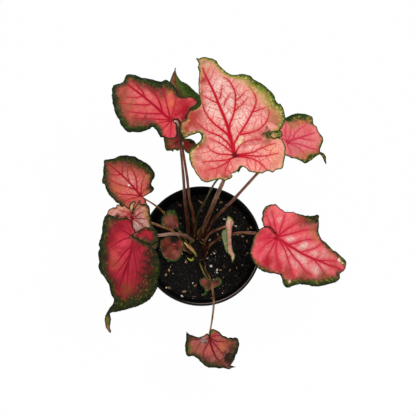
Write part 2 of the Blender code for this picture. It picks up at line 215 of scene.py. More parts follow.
def white_floor(half):
    """Pale table top that looks white to the eye and still takes a soft shadow."""
    corners = [(-half, -half, 0), (half, -half, 0), (half, half, 0), (-half, half, 0)]
    mesh = bpy.data.meshes.new("floor")
    mesh.from_pydata(corners, [], [(0, 1, 2, 3)])
    floor = bpy.data.objects.new("floor", mesh)
    bpy.context.scene.collection.objects.link(floor)
    mat = bpy.data.materials.new("white_laminate_table")
    mat.use_nodes = True
    tree = mat.node_tree
    tree.nodes.clear()
    path = add_node(tree, "ShaderNodeLightPath").outputs
    seen = work(tree, "MAXIMUM", path["Is Camera Ray"], path["Is Glossy Ray"])
    seen = work(tree, "MAXIMUM", seen, path["Is Transmission Ray"])
    share = work(tree, "MULTIPLY", seen, 0.98)
    dull = add_node(tree, "ShaderNodeBsdfDiffuse", {"Color": (0.9, 0.9, 0.9, 1)})
    glow = add_node(tree, "ShaderNodeEmission", {"Color": (1, 1, 1, 1), "Strength": 1.0})
    mixed = add_node(tree, "ShaderNodeMixShader", {0: share, 1: dull.outputs[0],
                                                   2: glow.outputs[0]})
    add_node(tree, "ShaderNodeOutputMaterial", {"Surface": mixed.outputs[0]})
    mesh.materials.append(mat)


bpy.context.scene.view_settings.view_transform = "Standard"
light_world(0.42)
add_lamp("key", (0.30, 0.12, 1.12), (0, 0.02, 0.15), 0.35, 5.2)
add_lamp("fill", (-0.7, -0.3, 0.9), (0, 0.0, 0.12), 0.8, 3.2)
white_floor(2.0)

# %% [markdown]
# ## Meshes from arrays
# Every new piece here is a grid or a profile worked out with numpy and handed to Blender
# in one go. The same helper also stores named numbers on the points, such as the distance
# to the nearest vein, which the materials read later.


# %% Mesh helper
def make_piece(name, points, face_groups, materials, replaced=(), numbers=None):
    """Object from points in metres and arrays of faces; numbers are kept per point."""
    mesh = bpy.data.meshes.new(name)
    corners = np.concatenate([group.ravel() for group in face_groups]).astype(np.int32)
    sizes = np.concatenate([np.full(len(group), group.shape[1]) for group in face_groups])
    starts = np.r_[0, np.cumsum(sizes)[:-1]].astype(np.int32)
    mesh.vertices.add(len(points))
    mesh.vertices.foreach_set("co", np.asarray(points, np.float32).ravel())
    mesh.loops.add(len(corners))
    mesh.loops.foreach_set("vertex_index", corners)
    mesh.polygons.add(len(sizes))
    mesh.polygons.foreach_set("loop_start", starts)
    for key, values in (numbers or {}).items():
        values = np.asarray(values, np.float32)
        flat_kind = values.ndim == 1
        layer = mesh.attributes.new(key, "FLOAT" if flat_kind else "FLOAT_VECTOR", "POINT")
        layer.data.foreach_set("value" if flat_kind else "vector", values.ravel())
    mesh.update(calc_edges=True)
    mesh.validate()
    mesh.shade_smooth()
    for mat in materials:
        mesh.materials.append(mat)
    piece = bpy.data.objects.new(name, mesh)
    bpy.context.scene.collection.objects.link(piece)
    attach(piece, "root")
    if replaced:
        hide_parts(*replaced)
    return piece


def grid_faces(rows, columns, wrap=True, start=0):
    """Quads between rows of points; with wrap, the last column meets the first."""
    last = columns if wrap else columns - 1
    r, c = np.meshgrid(np.arange(rows - 1), np.arange(last), indexing="ij")
    right = (c + 1) % columns
    quads = np.stack([r * columns + c, r * columns + right,
                      (r + 1) * columns + right, (r + 1) * columns + c], axis=-1)
    return quads.reshape(-1, 4) + start


def fan_faces(pole, ring_start, columns, flip=False):
    """Triangles from one pole to a ring of points."""
    c = np.arange(columns)
    right = (c + 1) % columns
    order = (right, c) if flip else (c, right)
    return np.stack([np.full(columns, pole), ring_start + order[0],
                     ring_start + order[1]], axis=1)


def closed_faces(rows, columns, flip=False):
    """Faces of rings of points between two poles, the first and the last point."""
    body = grid_faces(rows, columns, start=1)
    last = rows * columns + 1
    return [body[:, ::-1] if flip else body, fan_faces(0, 1, columns, not flip),
            fan_faces(last, last - columns, columns, flip)]


def thicken(piece, depth, underside=0):
    """Thickness below a sheet; its lower face may take another of its materials."""
    skin = piece.modifiers.new("thickness", "SOLIDIFY")
    skin.thickness = depth
    skin.offset = -1.0
    skin.material_offset = underside
    return piece


def spline_through(points, samples):
    """Centripetal Catmull-Rom curve through points, read at even steps of its length."""
    pts = np.asarray(points, dtype=float)
    ends = np.vstack([2 * pts[0] - pts[1], pts, 2 * pts[-1] - pts[-2]])
    knots = np.cumsum(np.r_[0, np.sqrt(np.linalg.norm(np.diff(ends, axis=0), axis=1))])
    fine = []
    for i in range(1, len(pts)):
        p0, p1, p2, p3 = ends[i - 1:i + 3]
        t0, t1, t2, t3 = knots[i - 1:i + 3]
        t = np.linspace(t1, t2, 24, endpoint=False)[:, None]
        a1 = (t1 - t) / (t1 - t0) * p0 + (t - t0) / (t1 - t0) * p1
        a2 = (t2 - t) / (t2 - t1) * p1 + (t - t1) / (t2 - t1) * p2
        a3 = (t3 - t) / (t3 - t2) * p2 + (t - t2) / (t3 - t2) * p3
        b1 = (t2 - t) / (t2 - t0) * a1 + (t - t0) / (t2 - t0) * a2
        b2 = (t3 - t) / (t3 - t1) * a2 + (t - t1) / (t3 - t1) * a3
        fine.append((t2 - t) / (t2 - t1) * b1 + (t - t1) / (t2 - t1) * b2)
    fine = np.vstack(fine + [pts[-1:]])
    along = np.cumsum(np.r_[0, np.linalg.norm(np.diff(fine, axis=0), axis=1)])
    wanted = np.linspace(0, along[-1], samples)
    return np.stack([np.interp(wanted, along, axis) for axis in fine.T], axis=1)


def ripples(places, size, seed, waves=9):
    """Smooth noise about 0: a sum of plane waves of random direction near one size."""
    rng = np.random.default_rng(seed)
    ways = rng.normal(size=(waves, places.shape[1]))
    ways /= np.linalg.norm(ways, axis=1)[:, None]
    ways *= 2 * np.pi / (size * rng.uniform(0.6, 1.5, (waves, 1)))
    return np.sin(places @ ways.T + rng.uniform(0, 2 * np.pi, waves)).sum(1) / waves ** 0.5


# %% [markdown]
# ## The pot
# A nursery pot is blown or moulded from thin black polypropylene. It tapers so that pots
# nest, its lip is rolled over for stiffness, and its wall carries faint ribs from the
# mould. A turned profile gives all of it in one sheet, and the ribs are a small change of
# radius around the inside.

# %% Pot material
def black_polypropylene():
    """Black PP, moulded: satin, with fine scuffs, grey dust and a painted highlight along the crest of
    the lip.
    """
    mat, tree, shader, place = new_material("black_polypropylene_moulded")
    dust = noise_at(tree, place, 900.0, 6.0, 0.75)
    specks = add_node(tree, "ShaderNodeMapRange", {"Value": dust, "From Min": 0.58,
                                                   "From Max": 0.72, "To Max": 0.5})
    patch = noise_at(tree, place, 60.0, 3.0)
    wear = work(tree, "MULTIPLY", specks.outputs[0], patch)
    colour = blend(tree, wear, "0f0f0f", "4a4844")
    level = work_vector(tree, "MULTIPLY", place, (1, 1, 0))
    radius = work_vector(tree, "LENGTH", level, output=1)
    # painted highlight: a pale line along the crest of the lip, strongest on one side
    crest = work(tree, "COMPARE", radius, POT_RIM - CREST_INSET, CREST_HALF_WIDTH)
    side = work_vector(tree, "DOT_PRODUCT", place, HIGHLIGHT_SIDE, output=1)
    lit_side_share = add_node(tree, "ShaderNodeMapRange", {"Value": side, "From Min": 0.022,
                                                    "From Max": 0.045, "To Max": 0.9})
    crest = work(tree, "MULTIPLY", crest, lit_side_share.outputs[0])
    colour = blend(tree, crest, colour, "94847e")
    rough = add_node(tree, "ShaderNodeMapRange", {"Value": patch, "To Min": 0.3,
                                                  "To Max": 0.5})
    dress(shader, colour, rough.outputs[0], 0.4, dust, 0.25, 0.1 * MM)
    shader.inputs["IOR"].default_value = 1.18
    return mat


# %% Pot shape
pot_low, pot_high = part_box("nursery_pot")
POT_HEIGHT = pot_high.z
POT_RIM = pot_high.x + 0.7 * MM   # the rolled lip is fuller than the plain solid's
POT_COLUMNS = 264                 # six to a rib
CREST_INSET = 1.9 * MM            # from the rim to the crest of the lip, where its highlight is painted
CREST_HALF_WIDTH = 0.35 * MM
HIGHLIGHT_SIDE = (0.7, -0.7, 0)        # side of the lip where the highlight is painted
LIP_WIDTH = 3 * MM
LIP_HEIGHT = 6.5 * MM
WALL = 1.2 * MM
FLOOR = 1.6 * MM
FOOT = 38.5 * MM
RIBS = 44
RIB_DEPTH = 0.35 * MM
DRAIN_HOLES = 6
DRAIN_RADIUS = 4 * MM
DRAIN_CIRCLE = 27 * MM


def pot_inner_radius(z):
    """Radius of the tapered inside wall at height z."""
    foot = FOOT - WALL
    return foot + (POT_RIM - LIP_WIDTH - foot) * z / POT_HEIGHT


def pot_profile():
    """(r, z) from the middle of the floor, up the inside, over the lip and down."""
    corner = FLOOR + 1 * MM
    inside = [(0.0, FLOOR), (20 * MM, FLOOR), (pot_inner_radius(FLOOR) - 1 * MM, FLOOR)]
    heights = np.linspace(corner, POT_HEIGHT - 6 * MM, 20)
    inside += [(pot_inner_radius(z), z) for z in heights]
    step_in = pot_inner_radius(POT_HEIGHT - 6 * MM)
    inside += [(step_in + 0.05 * MM, POT_HEIGHT - 5.6 * MM),
               (step_in + 0.6 * MM, POT_HEIGHT - 5.0 * MM),
               (POT_RIM - LIP_WIDTH + 0.15 * MM, POT_HEIGHT - 3 * MM)]
    turn = np.linspace(math.pi, 0, 13)
    lip = 1.35 * MM
    over = [(POT_RIM - lip + lip * math.cos(a), POT_HEIGHT - lip + lip * math.sin(a))
            for a in turn]
    under = POT_HEIGHT - LIP_HEIGHT
    outside = [(POT_RIM, under + 1.2 * MM), (POT_RIM - 0.1 * MM, under + 0.4 * MM),
               (POT_RIM - 0.5 * MM, under), (pot_inner_radius(under) + WALL + 0.3 * MM, under),
               (pot_inner_radius(under) + WALL, under - 0.5 * MM)]
    outside += [(pot_inner_radius(z) + WALL, z)
                for z in np.linspace(under - 3 * MM, 1.5 * MM, 14)]
    foot = [(FOOT - 0.3 * MM, 0.5 * MM), (FOOT - 1 * MM, 0.0), (20 * MM, 0.0), (0.0, 0.0)]
    return np.array(inside + over + outside + foot)


def turn_profile(profile, columns, wobble=None):
    """Points and faces of a profile turned about Z; its first and last points are poles."""
    angle = np.linspace(0, 2 * np.pi, columns, endpoint=False)
    r = np.repeat(profile[1:-1, 0][:, None], columns, axis=1)
    z = np.repeat(profile[1:-1, 1][:, None], columns, axis=1)
    if wobble is not None:
        r, z = wobble(r, z, angle[None, :])
    rings = np.stack([r * np.cos(angle), r * np.sin(angle), z], axis=-1).reshape(-1, 3)
    points = np.vstack([[(0, 0, profile[0, 1])], rings, [(0, 0, profile[-1, 1])]])
    return points, closed_faces(len(profile) - 2, columns, flip=True)


def rib_inside(r, z, angle):
    """Shallow ribs on the inside wall below the lip, fading at floor and lip."""
    inner = np.abs(r - pot_inner_radius(z)) < 0.01 * MM
    fade = np.clip((POT_HEIGHT - 7 * MM - z) / (4 * MM), 0, 1)
    wave = np.clip(np.cos(RIBS * angle) * 2.2, -1, 1)
    return r - inner * fade * RIB_DEPTH * (0.5 + 0.5 * wave), z


def drill(piece, places, radius, depth):
    """Cut round holes along Z through a piece, and keep the result as its mesh."""
    sides = 32
    turn = np.linspace(0, 2 * np.pi, sides, endpoint=False)
    ring = np.stack([np.cos(turn), np.sin(turn)], axis=1) * radius
    rods, faces = [], []
    for k, place in enumerate(places):
        start = 2 * sides * k
        rods += [np.c_[ring + place, np.full(sides, z)] for z in (-depth, depth)]
        faces += grid_faces(2, sides, start=start).tolist()
        faces += [list(range(start + sides - 1, start - 1, -1)),
                  list(range(start + sides, start + 2 * sides))]
    mesh = bpy.data.meshes.new("rods")
    mesh.from_pydata(np.vstack(rods).tolist(), [], faces)
    rod = bpy.data.objects.new("rods", mesh)
    bpy.context.scene.collection.objects.link(rod)
    cut = piece.modifiers.new("holes", "BOOLEAN")
    cut.operation = "DIFFERENCE"
    cut.object = rod
    bpy.context.view_layer.update()
    shaped = piece.evaluated_get(bpy.context.evaluated_depsgraph_get())
    piece.data = bpy.data.meshes.new_from_object(shaped)
    piece.modifiers.clear()
    bpy.data.objects.remove(rod)


points, faces = turn_profile(pot_profile(), POT_COLUMNS, rib_inside)
pot = make_piece("nursery_pot_moulded", points, faces, [black_polypropylene()],
                 ["nursery_pot"])
ring = [2 * math.pi * k / DRAIN_HOLES for k in range(DRAIN_HOLES)]
drill(pot, [(DRAIN_CIRCLE * math.cos(a), DRAIN_CIRCLE * math.sin(a)) for a in ring],
      DRAIN_RADIUS, 5 * MM)
print("pot faces:", len(pot.data.polygons))

# %% [markdown]
# ## The soil
# Potting mix is dark moist peat with fine bark, a few pale fibres and white perlite. The
# body is a turned solid whose top is a height field of small lumps. Loose crumbs, bark
# and perlite grains are strewn on it as a few low shapes repeated many times.


# %% Soil material
def moist_peat():
    """Moist peat, crumbled: near black and matt, with dark brown grain."""
    mat, tree, shader, place = new_material("moist_peat_crumbled")
    grain = noise_at(tree, place, 700.0, 6.0, 0.7)
    patch = noise_at(tree, place, 160.0, 4.0)
    tone = ramp(tree, grain, ((0.35, "050404"), (0.75, "17110e")))
    dress(shader, blend(tree, patch, tone, "090706"), 0.85, 0.2, grain, 0.8, 0.5 * MM)
    return mat


def toned_material(name, codes, roughness, scale, bump_depth):
    """Loose matter whose tone comes from the number 'tone' kept on its points."""
    mat, tree, shader, place = new_material(name)
    grain = noise_at(tree, place, scale, 4.0)
    mixed = work(tree, "MULTIPLY_ADD", grain, 0.35, attribute(tree, "tone"))
    stops = [(k / (len(codes) - 1), code) for k, code in enumerate(codes)]
    dress(shader, ramp(tree, mixed, stops), roughness, 0.5, grain, 0.6, bump_depth)
    return mat


# %% Soil body
SOIL_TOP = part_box("potting_soil")[1].z
SOIL_GAP = 0.3 * MM
LUMPS = 900
TUBER_LOW, TUBER_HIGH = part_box("tuber")
TUBER_MIDDLE = (TUBER_LOW + TUBER_HIGH) / 2
TUBER_HALF = (TUBER_HIGH - TUBER_LOW) / 2


def soil_height(xy):
    """Height of the soil: lumps of 3 to 6 mm on gentle waves, heaped at the crown."""
    rng = np.random.default_rng(11)
    centres = rng.uniform(-POT_RIM, POT_RIM, (LUMPS, 2))
    sizes = rng.uniform(1.6 * MM, 3.6 * MM, LUMPS)
    lumps = np.zeros(len(xy))
    for some in np.array_split(np.arange(LUMPS), 9):
        gap = np.linalg.norm(xy[:, None, :] - centres[None, some], axis=2)
        round_top = np.sqrt(np.clip(1 - (gap / sizes[some]) ** 2, 0, 1))
        lumps = np.maximum(lumps, (round_top * sizes[some] * 0.42).max(1))
    from_crown = np.linalg.norm(xy - np.array(TUBER_MIDDLE[:2]), axis=1)
    heap = 2.2 * MM * np.exp(-(from_crown / (15 * MM)) ** 2)
    return SOIL_TOP - 1.6 * MM + lumps + heap + 0.5 * MM * ripples(xy, 16 * MM, 5)


def soil_body():
    """Closed body: lumpy top, side just inside the wall, flat underside."""
    columns = 220
    rows = 74
    angle = np.linspace(0, 2 * np.pi, columns, endpoint=False)
    edge = pot_inner_radius(SOIL_TOP) - SOIL_GAP - RIB_DEPTH
    radii = edge * np.linspace(1 / rows, 1, rows)
    xy = (radii[:, None, None] * np.stack([np.cos(angle), np.sin(angle)], -1)).reshape(-1, 2)
    top = np.c_[xy, soil_height(xy)]
    sides = []
    for z in (SOIL_TOP - 6 * MM, 0.5 * SOIL_TOP, FLOOR + 1.5 * MM, FLOOR + SOIL_GAP):
        r = pot_inner_radius(z) - SOIL_GAP - RIB_DEPTH
        r -= 1 * MM if z < FLOOR + 1 * MM else 0
        sides.append(np.stack([r * np.cos(angle), r * np.sin(angle),
                               np.full(columns, z)], 1))
    centre = np.array([[0, 0, soil_height(np.zeros((1, 2)))[0]]])
    below = np.array([[0, 0, FLOOR + SOIL_GAP]])
    points = np.vstack([centre, top, *sides, below])
    faces = closed_faces(rows + len(sides), columns, flip=True)
    return make_piece("potting_soil_body", points, faces, [moist_peat()],
                      ["potting_soil"])


soil = soil_body()
print("soil faces:", len(soil.data.polygons))


# %% Loose crumbs, bark and perlite
def lump_mesh():
    """Round lump of 42 points and 80 faces: an icosahedron with its edges halved."""
    bm = bmesh.new()
    bmesh.ops.create_icosphere(bm, subdivisions=2, radius=1.0)
    points = np.array([v.co[:] for v in bm.verts])
    faces = np.array([[v.index for v in f.verts] for f in bm.faces])
    bm.free()
    return points, faces


LUMP_POINTS, LUMP_FACES = lump_mesh()


def strew(name, places, sizes, stretch, tones, mat, seed, sink=0.35):
    """Copies of the lump at (x, y) places, each dented, stretched and turned at random."""
    rng = np.random.default_rng(seed)
    count = len(places)
    dents = 1 + 0.22 * rng.normal(size=(count, len(LUMP_POINTS), 1)).clip(-1.5, 1.5)
    shape = LUMP_POINTS[None] * dents * stretch[:, None, :] * sizes[:, None, None]
    turn = rng.uniform(0, 2 * np.pi, count)
    tilt = rng.uniform(-0.5, 0.5, count)
    c, s = np.cos(turn)[:, None], np.sin(turn)[:, None]
    ct, st = np.cos(tilt)[:, None], np.sin(tilt)[:, None]
    x = shape[..., 0]
    y = shape[..., 1] * ct - shape[..., 2] * st
    z = shape[..., 1] * st + shape[..., 2] * ct
    world = np.stack([c * x - s * y, s * x + c * y, z], axis=-1)
    ground = soil_height(places) + sizes * stretch[:, 2] * (1 - 2 * sink)
    world += np.concatenate([places, ground[:, None]], axis=1)[:, None, :]
    faces = (LUMP_FACES[None] + len(LUMP_POINTS) * np.arange(count)[:, None, None])
    numbers = {"tone": np.repeat(tones, len(LUMP_POINTS))}
    return make_piece(name, world.reshape(-1, 3), [faces.reshape(-1, 3)], [mat],
                      (), numbers)


def soil_places(count, seed, edge=2.0 * MM):
    """Random (x, y) places on the soil, even over its area."""
    rng = np.random.default_rng(seed)
    r = (pot_inner_radius(SOIL_TOP) - edge) * np.sqrt(rng.uniform(0, 1, count))
    a = rng.uniform(0, 2 * np.pi, count)
    return np.stack([r * np.cos(a), r * np.sin(a)], axis=1)


# x, y and size in mm of the larger pieces that lie loose on top.
TOP_PERLITE = [
    (8.7, -17.9, 1.3), (14.2, -21.5, 1.2), (11.5, -5.9, 0.9), (7.3, 6.1, 1.0),
    (5.1, -10.5, 0.9), (1.4, 6.1, 0.8), (21.2, 25.7, 1.0), (31.8, 19.1, 1.0),
    (34.1, 17.7, 0.8), (-17.7, -45.2, 1.2), (-7.7, -33.4, 0.9), (-32.3, -38.0, 1.0),
    (14.2, -23.8, 0.8), (37.2, 9.8, 0.7), (-11.3, -37.1, 0.7), (-14.2, -14.2, 0.8)]
TOP_BARK = [
    (-29.7, -21.5, 1.4), (-32.4, -25.7, 1.2), (-15.9, -41.2, 1.5), (26.1, -21.5, 1.1),
    (1.4, -44.3, 1.3), (14.3, 35.0, 1.2), (18.0, 41.6, 1.2), (-5.0, -35.2, 1.1),
    (35.3, -10.5, 0.9), (46.1, 17.9, 1.5), (42.9, 16.5, 1), (38.2, 9.5, 1.1),
    (41.8, 5.3, 1.4), (40.4, 0.7, 1), (15.7, 45.6, 0.9), (18.9, 41.8, 1),
    (33.9, 18.0, 1.2), (30.9, 19.6, 0.9)]


def strewn_soil():
    """Dark crumbs, brown bark bits and white perlite grains on the soil."""
    rng = np.random.default_rng(21)
    n = 1300
    stretch = rng.uniform(0.6, 1.3, (n, 3))
    strew("peat_crumbs", soil_places(n, 31), rng.uniform(0.4, 1.25, n) * MM, stretch,
          rng.uniform(0, 0.6, n) ** 2,
          toned_material("peat_crumb_dark", ("060504", "0f0c0a", "221a13", "46352a"),
                         0.85, 900.0, 0.2 * MM), 32)
    n = 36
    stretch = np.stack([rng.uniform(1.2, 2.6, n), rng.uniform(0.5, 1.0, n),
                        rng.uniform(0.25, 0.5, n)], axis=1)
    bark = toned_material("composted_bark", ("2a1c12", "4e3521", "8a6743", "b08d5e"),
                          0.8, 1200.0, 0.15 * MM)
    perlite = toned_material("perlite_expanded", ("a8967c", "d8c8b0", "f6eada", "fffaf0"),
                             0.9, 1500.0, 0.1 * MM)
    strew("bark_bits", soil_places(n, 41), rng.uniform(0.5, 1.3, n) * MM, stretch,
          rng.uniform(0, 0.75, n), bark, 42)
    for name, table, mat in (("bark_on_top", TOP_BARK, bark),
                             ("perlite_on_top", TOP_PERLITE, perlite)):
        table = np.array(table) * MM
        stretch = np.c_[rng.uniform(0.8, 1.4, len(table)), rng.uniform(0.6, 0.9, len(table)),
                        rng.uniform(0.5, 0.8, len(table))]
        strew(name, table[:, :2], table[:, 2], stretch, np.full(len(table), 0.75), mat, 61,
              sink=0.1)
    n = 80
    sizes = 0.2 * MM + 0.6 * MM * rng.uniform(0, 1, n) ** 2
    stretch = rng.uniform(0.7, 1.2, (n, 3))
    strew("perlite_grains", soil_places(n, 51), sizes, stretch, rng.uniform(0, 0.6, n),
          perlite, 52, sink=0.2)


strewn_soil()

# %% [markdown]
# ## The tuber
# The tuber is a flattened, knobbly root stock. Only its crown shows between the stalks,
# with rough brown skin and the ring scars of old leaves. It is a squashed ball whose
# radius takes low waves and fine rings.


# %% Tuber
def corky_skin():
    """Dry corky skin of a tuber: dark brown, matt and finely rough."""
    mat, tree, shader, place = new_material("corky_tuber_skin")
    grain = noise_at(tree, place, 500.0, 5.0)
    colour = ramp(tree, grain, ((0, "070403"), (1, "24170d")))
    dress(shader, colour, 0.8, 0.1, grain, 1.0, 1.0 * MM)
    return mat


def tuber_body():
    """Squashed ball: x = R sin(a) cos(b), z = h cos(a), with waves and ring scars."""
    rows, columns = 42, 72
    down = np.linspace(0, np.pi, rows + 2)[1:-1]
    around = np.linspace(0, 2 * np.pi, columns, endpoint=False)
    a, b = np.meshgrid(down, around, indexing="ij")
    unit = np.stack([np.sin(a) * np.cos(b), np.sin(a) * np.sin(b), np.cos(a)], -1)
    unit = unit.reshape(-1, 3)
    swell = 0.965 + 0.02 * ripples(unit, 0.9, 3) + 0.006 * np.sin(26 * a.ravel())
    middle, half = np.array(TUBER_MIDDLE), np.array(TUBER_HALF)
    pole = np.array((0, 0, 0.96 * half[2]))
    points = unit * swell[:, None] * half + middle
    points = np.vstack([middle + pole, points, middle - pole])
    return make_piece("tuber_body", points, closed_faces(rows, columns, flip=True),
                      [corky_skin()], ["tuber"])


tuber_body()

# %% [markdown]
# ## The leaves
# A caladium blade is a thin sheet, puckered between its veins, with a ruffled margin. Its
# outline is filled with even triangles in the leaf's own plane. Folding, cupping and
# drooping the flat sheet gives its pose, and the distance to the veins gives the puckers.
# The same distances are kept on the points, so that the paint of the leaf follows its
# veins and its margin.

# %% Leaf and paint tables
# junction, in mm; heading, pitch and roll, in degrees; then the length that fold, cup,
# droop and lobe_droop refer to; the spacing of the mesh; and (height, size) of the
# margin's waves. The rest is in the leaf's own plane, in mm, with +X towards the tip and
# the junction at the middle:
# sheets: (lift, outline) of the blade and of any lobe that lies over or under it;
# veins: routes of the main veins, midrib first; rim: (x, y, width) of the green margin;
# patches: (x, y, radius, tone, strength) of soft patches of another colour, a few of them painted
# shade, noted where they stand;
# curls: (x, y, half span, depth, turn in degrees) of rolled stretches of margin.
Leaf = namedtuple("Leaf", "junction heading pitch roll length fold cup droop lobe_droop "
                          "spacing ruffle sheets veins rim patches curls paint")
Paint = namedtuple("Paint", "ground halo vein core edge rim rim_dark fleck glow spread net")

TONES = {"shell": "f8dcd0", "blush": "f2b0a8", "peach": "f2a888", "salmon": "ee8880",
         "coral": "e45e5a", "rose": "de4458", "scarlet": "d02c3a", "crimson": "ae182a",
         "wine": "820a1c", "plum": "5e2830", "rust": "8e4428", "orange": "dc7840",
         "tan": "b07a48", "straw": "e0d69a", "cream": "fdf6d8", "umber": "2e1c14",
         "moss": "5e7228", "pine": "1c2a14", "leafgreen": "3c7a2a", "ash": "9a8a84",
         "dusk": "a05c4e", "brick": "ac3c34", "fern": "6c8458"}
LIGHT_TONES = ("shell", "blush", "peach", "salmon", "coral", "rose")

# ground colour, glow beside the main veins, main veins, junction, where ground meets
# margin, margin inside and outside, flecks in the margin; then the strength of the glow,
# its reach from a vein in mm, and the strength of the net of fine veins.
PAINTS = {
    "pink": Paint("eea69a", "d4484a", "bc0c24", "6a0414", "c09256", "8c9632", "2c3e10",
                  "e4d888", 0.6, 2.0, 0.9),
    "rose": Paint("ee8482", "dc4460", "d03850", "b82840", "94562e", "4e6a1a", "22320e",
                  "d0b850", 0.55, 2.0, 0.4),
    "coral": Paint("f27274", "d8304a", "c01830", "9c0c1c", "6e3420", "46581c", "161e0a",
                   "b8a044", 0.8, 3.1, 0.3),
    "coral_dark": Paint("e07466", "ca3e40", "9c1024", "8c0c1c", "54301c", "3a4a18",
                        "141c0a", "8a7a3c", 0.55, 1.5, 0.75),
    "red": Paint("e0665e", "ce3046", "ac0c28", "9c0a20", "54301c", "2e4216", "141e0c",
                 "66743a", 0.65, 2.3, 0.3),
    "crimson": Paint("9a1a22", "c23046", "8c0820", "6c0414", "341a0e", "2e3a0f", "141c08",
                     "7c6c2c", 0.6, 2.2, 0.3),
    "dusky": Paint("b86a5a", "94303a", "6c0e14", "620c12", "46301a", "3c4018", "161a0a",
                   "5c5c28", 0.6, 1.4, 0.5),
    "dark": Paint("8a4436", "74302a", "641e1c", "601818", "54381f", "527a34", "24401c",
                  "8a9a58", 0.4, 1.0, 0.3),
    "green": Paint("8a4a3c", "7a2a24", "701818", "641414", "4e3c1e", "5e7a28", "3a5018",
                   "6c8a40", 0.4, 2.0, 0.4),
    "blush": Paint("e0a89a", "cc7c78", "c87470", "b06058", "b89468", "98a848", "5c7030",
                   "e0dca0", 0.35, 1.2, 0.4),
    "crumpled": Paint("e8a89c", "c24844", "98141f", "80101a", "a06c40", "6c5e2c",
                      "2c2c14", "c8b074", 0.55, 1.3, 0.5),
}

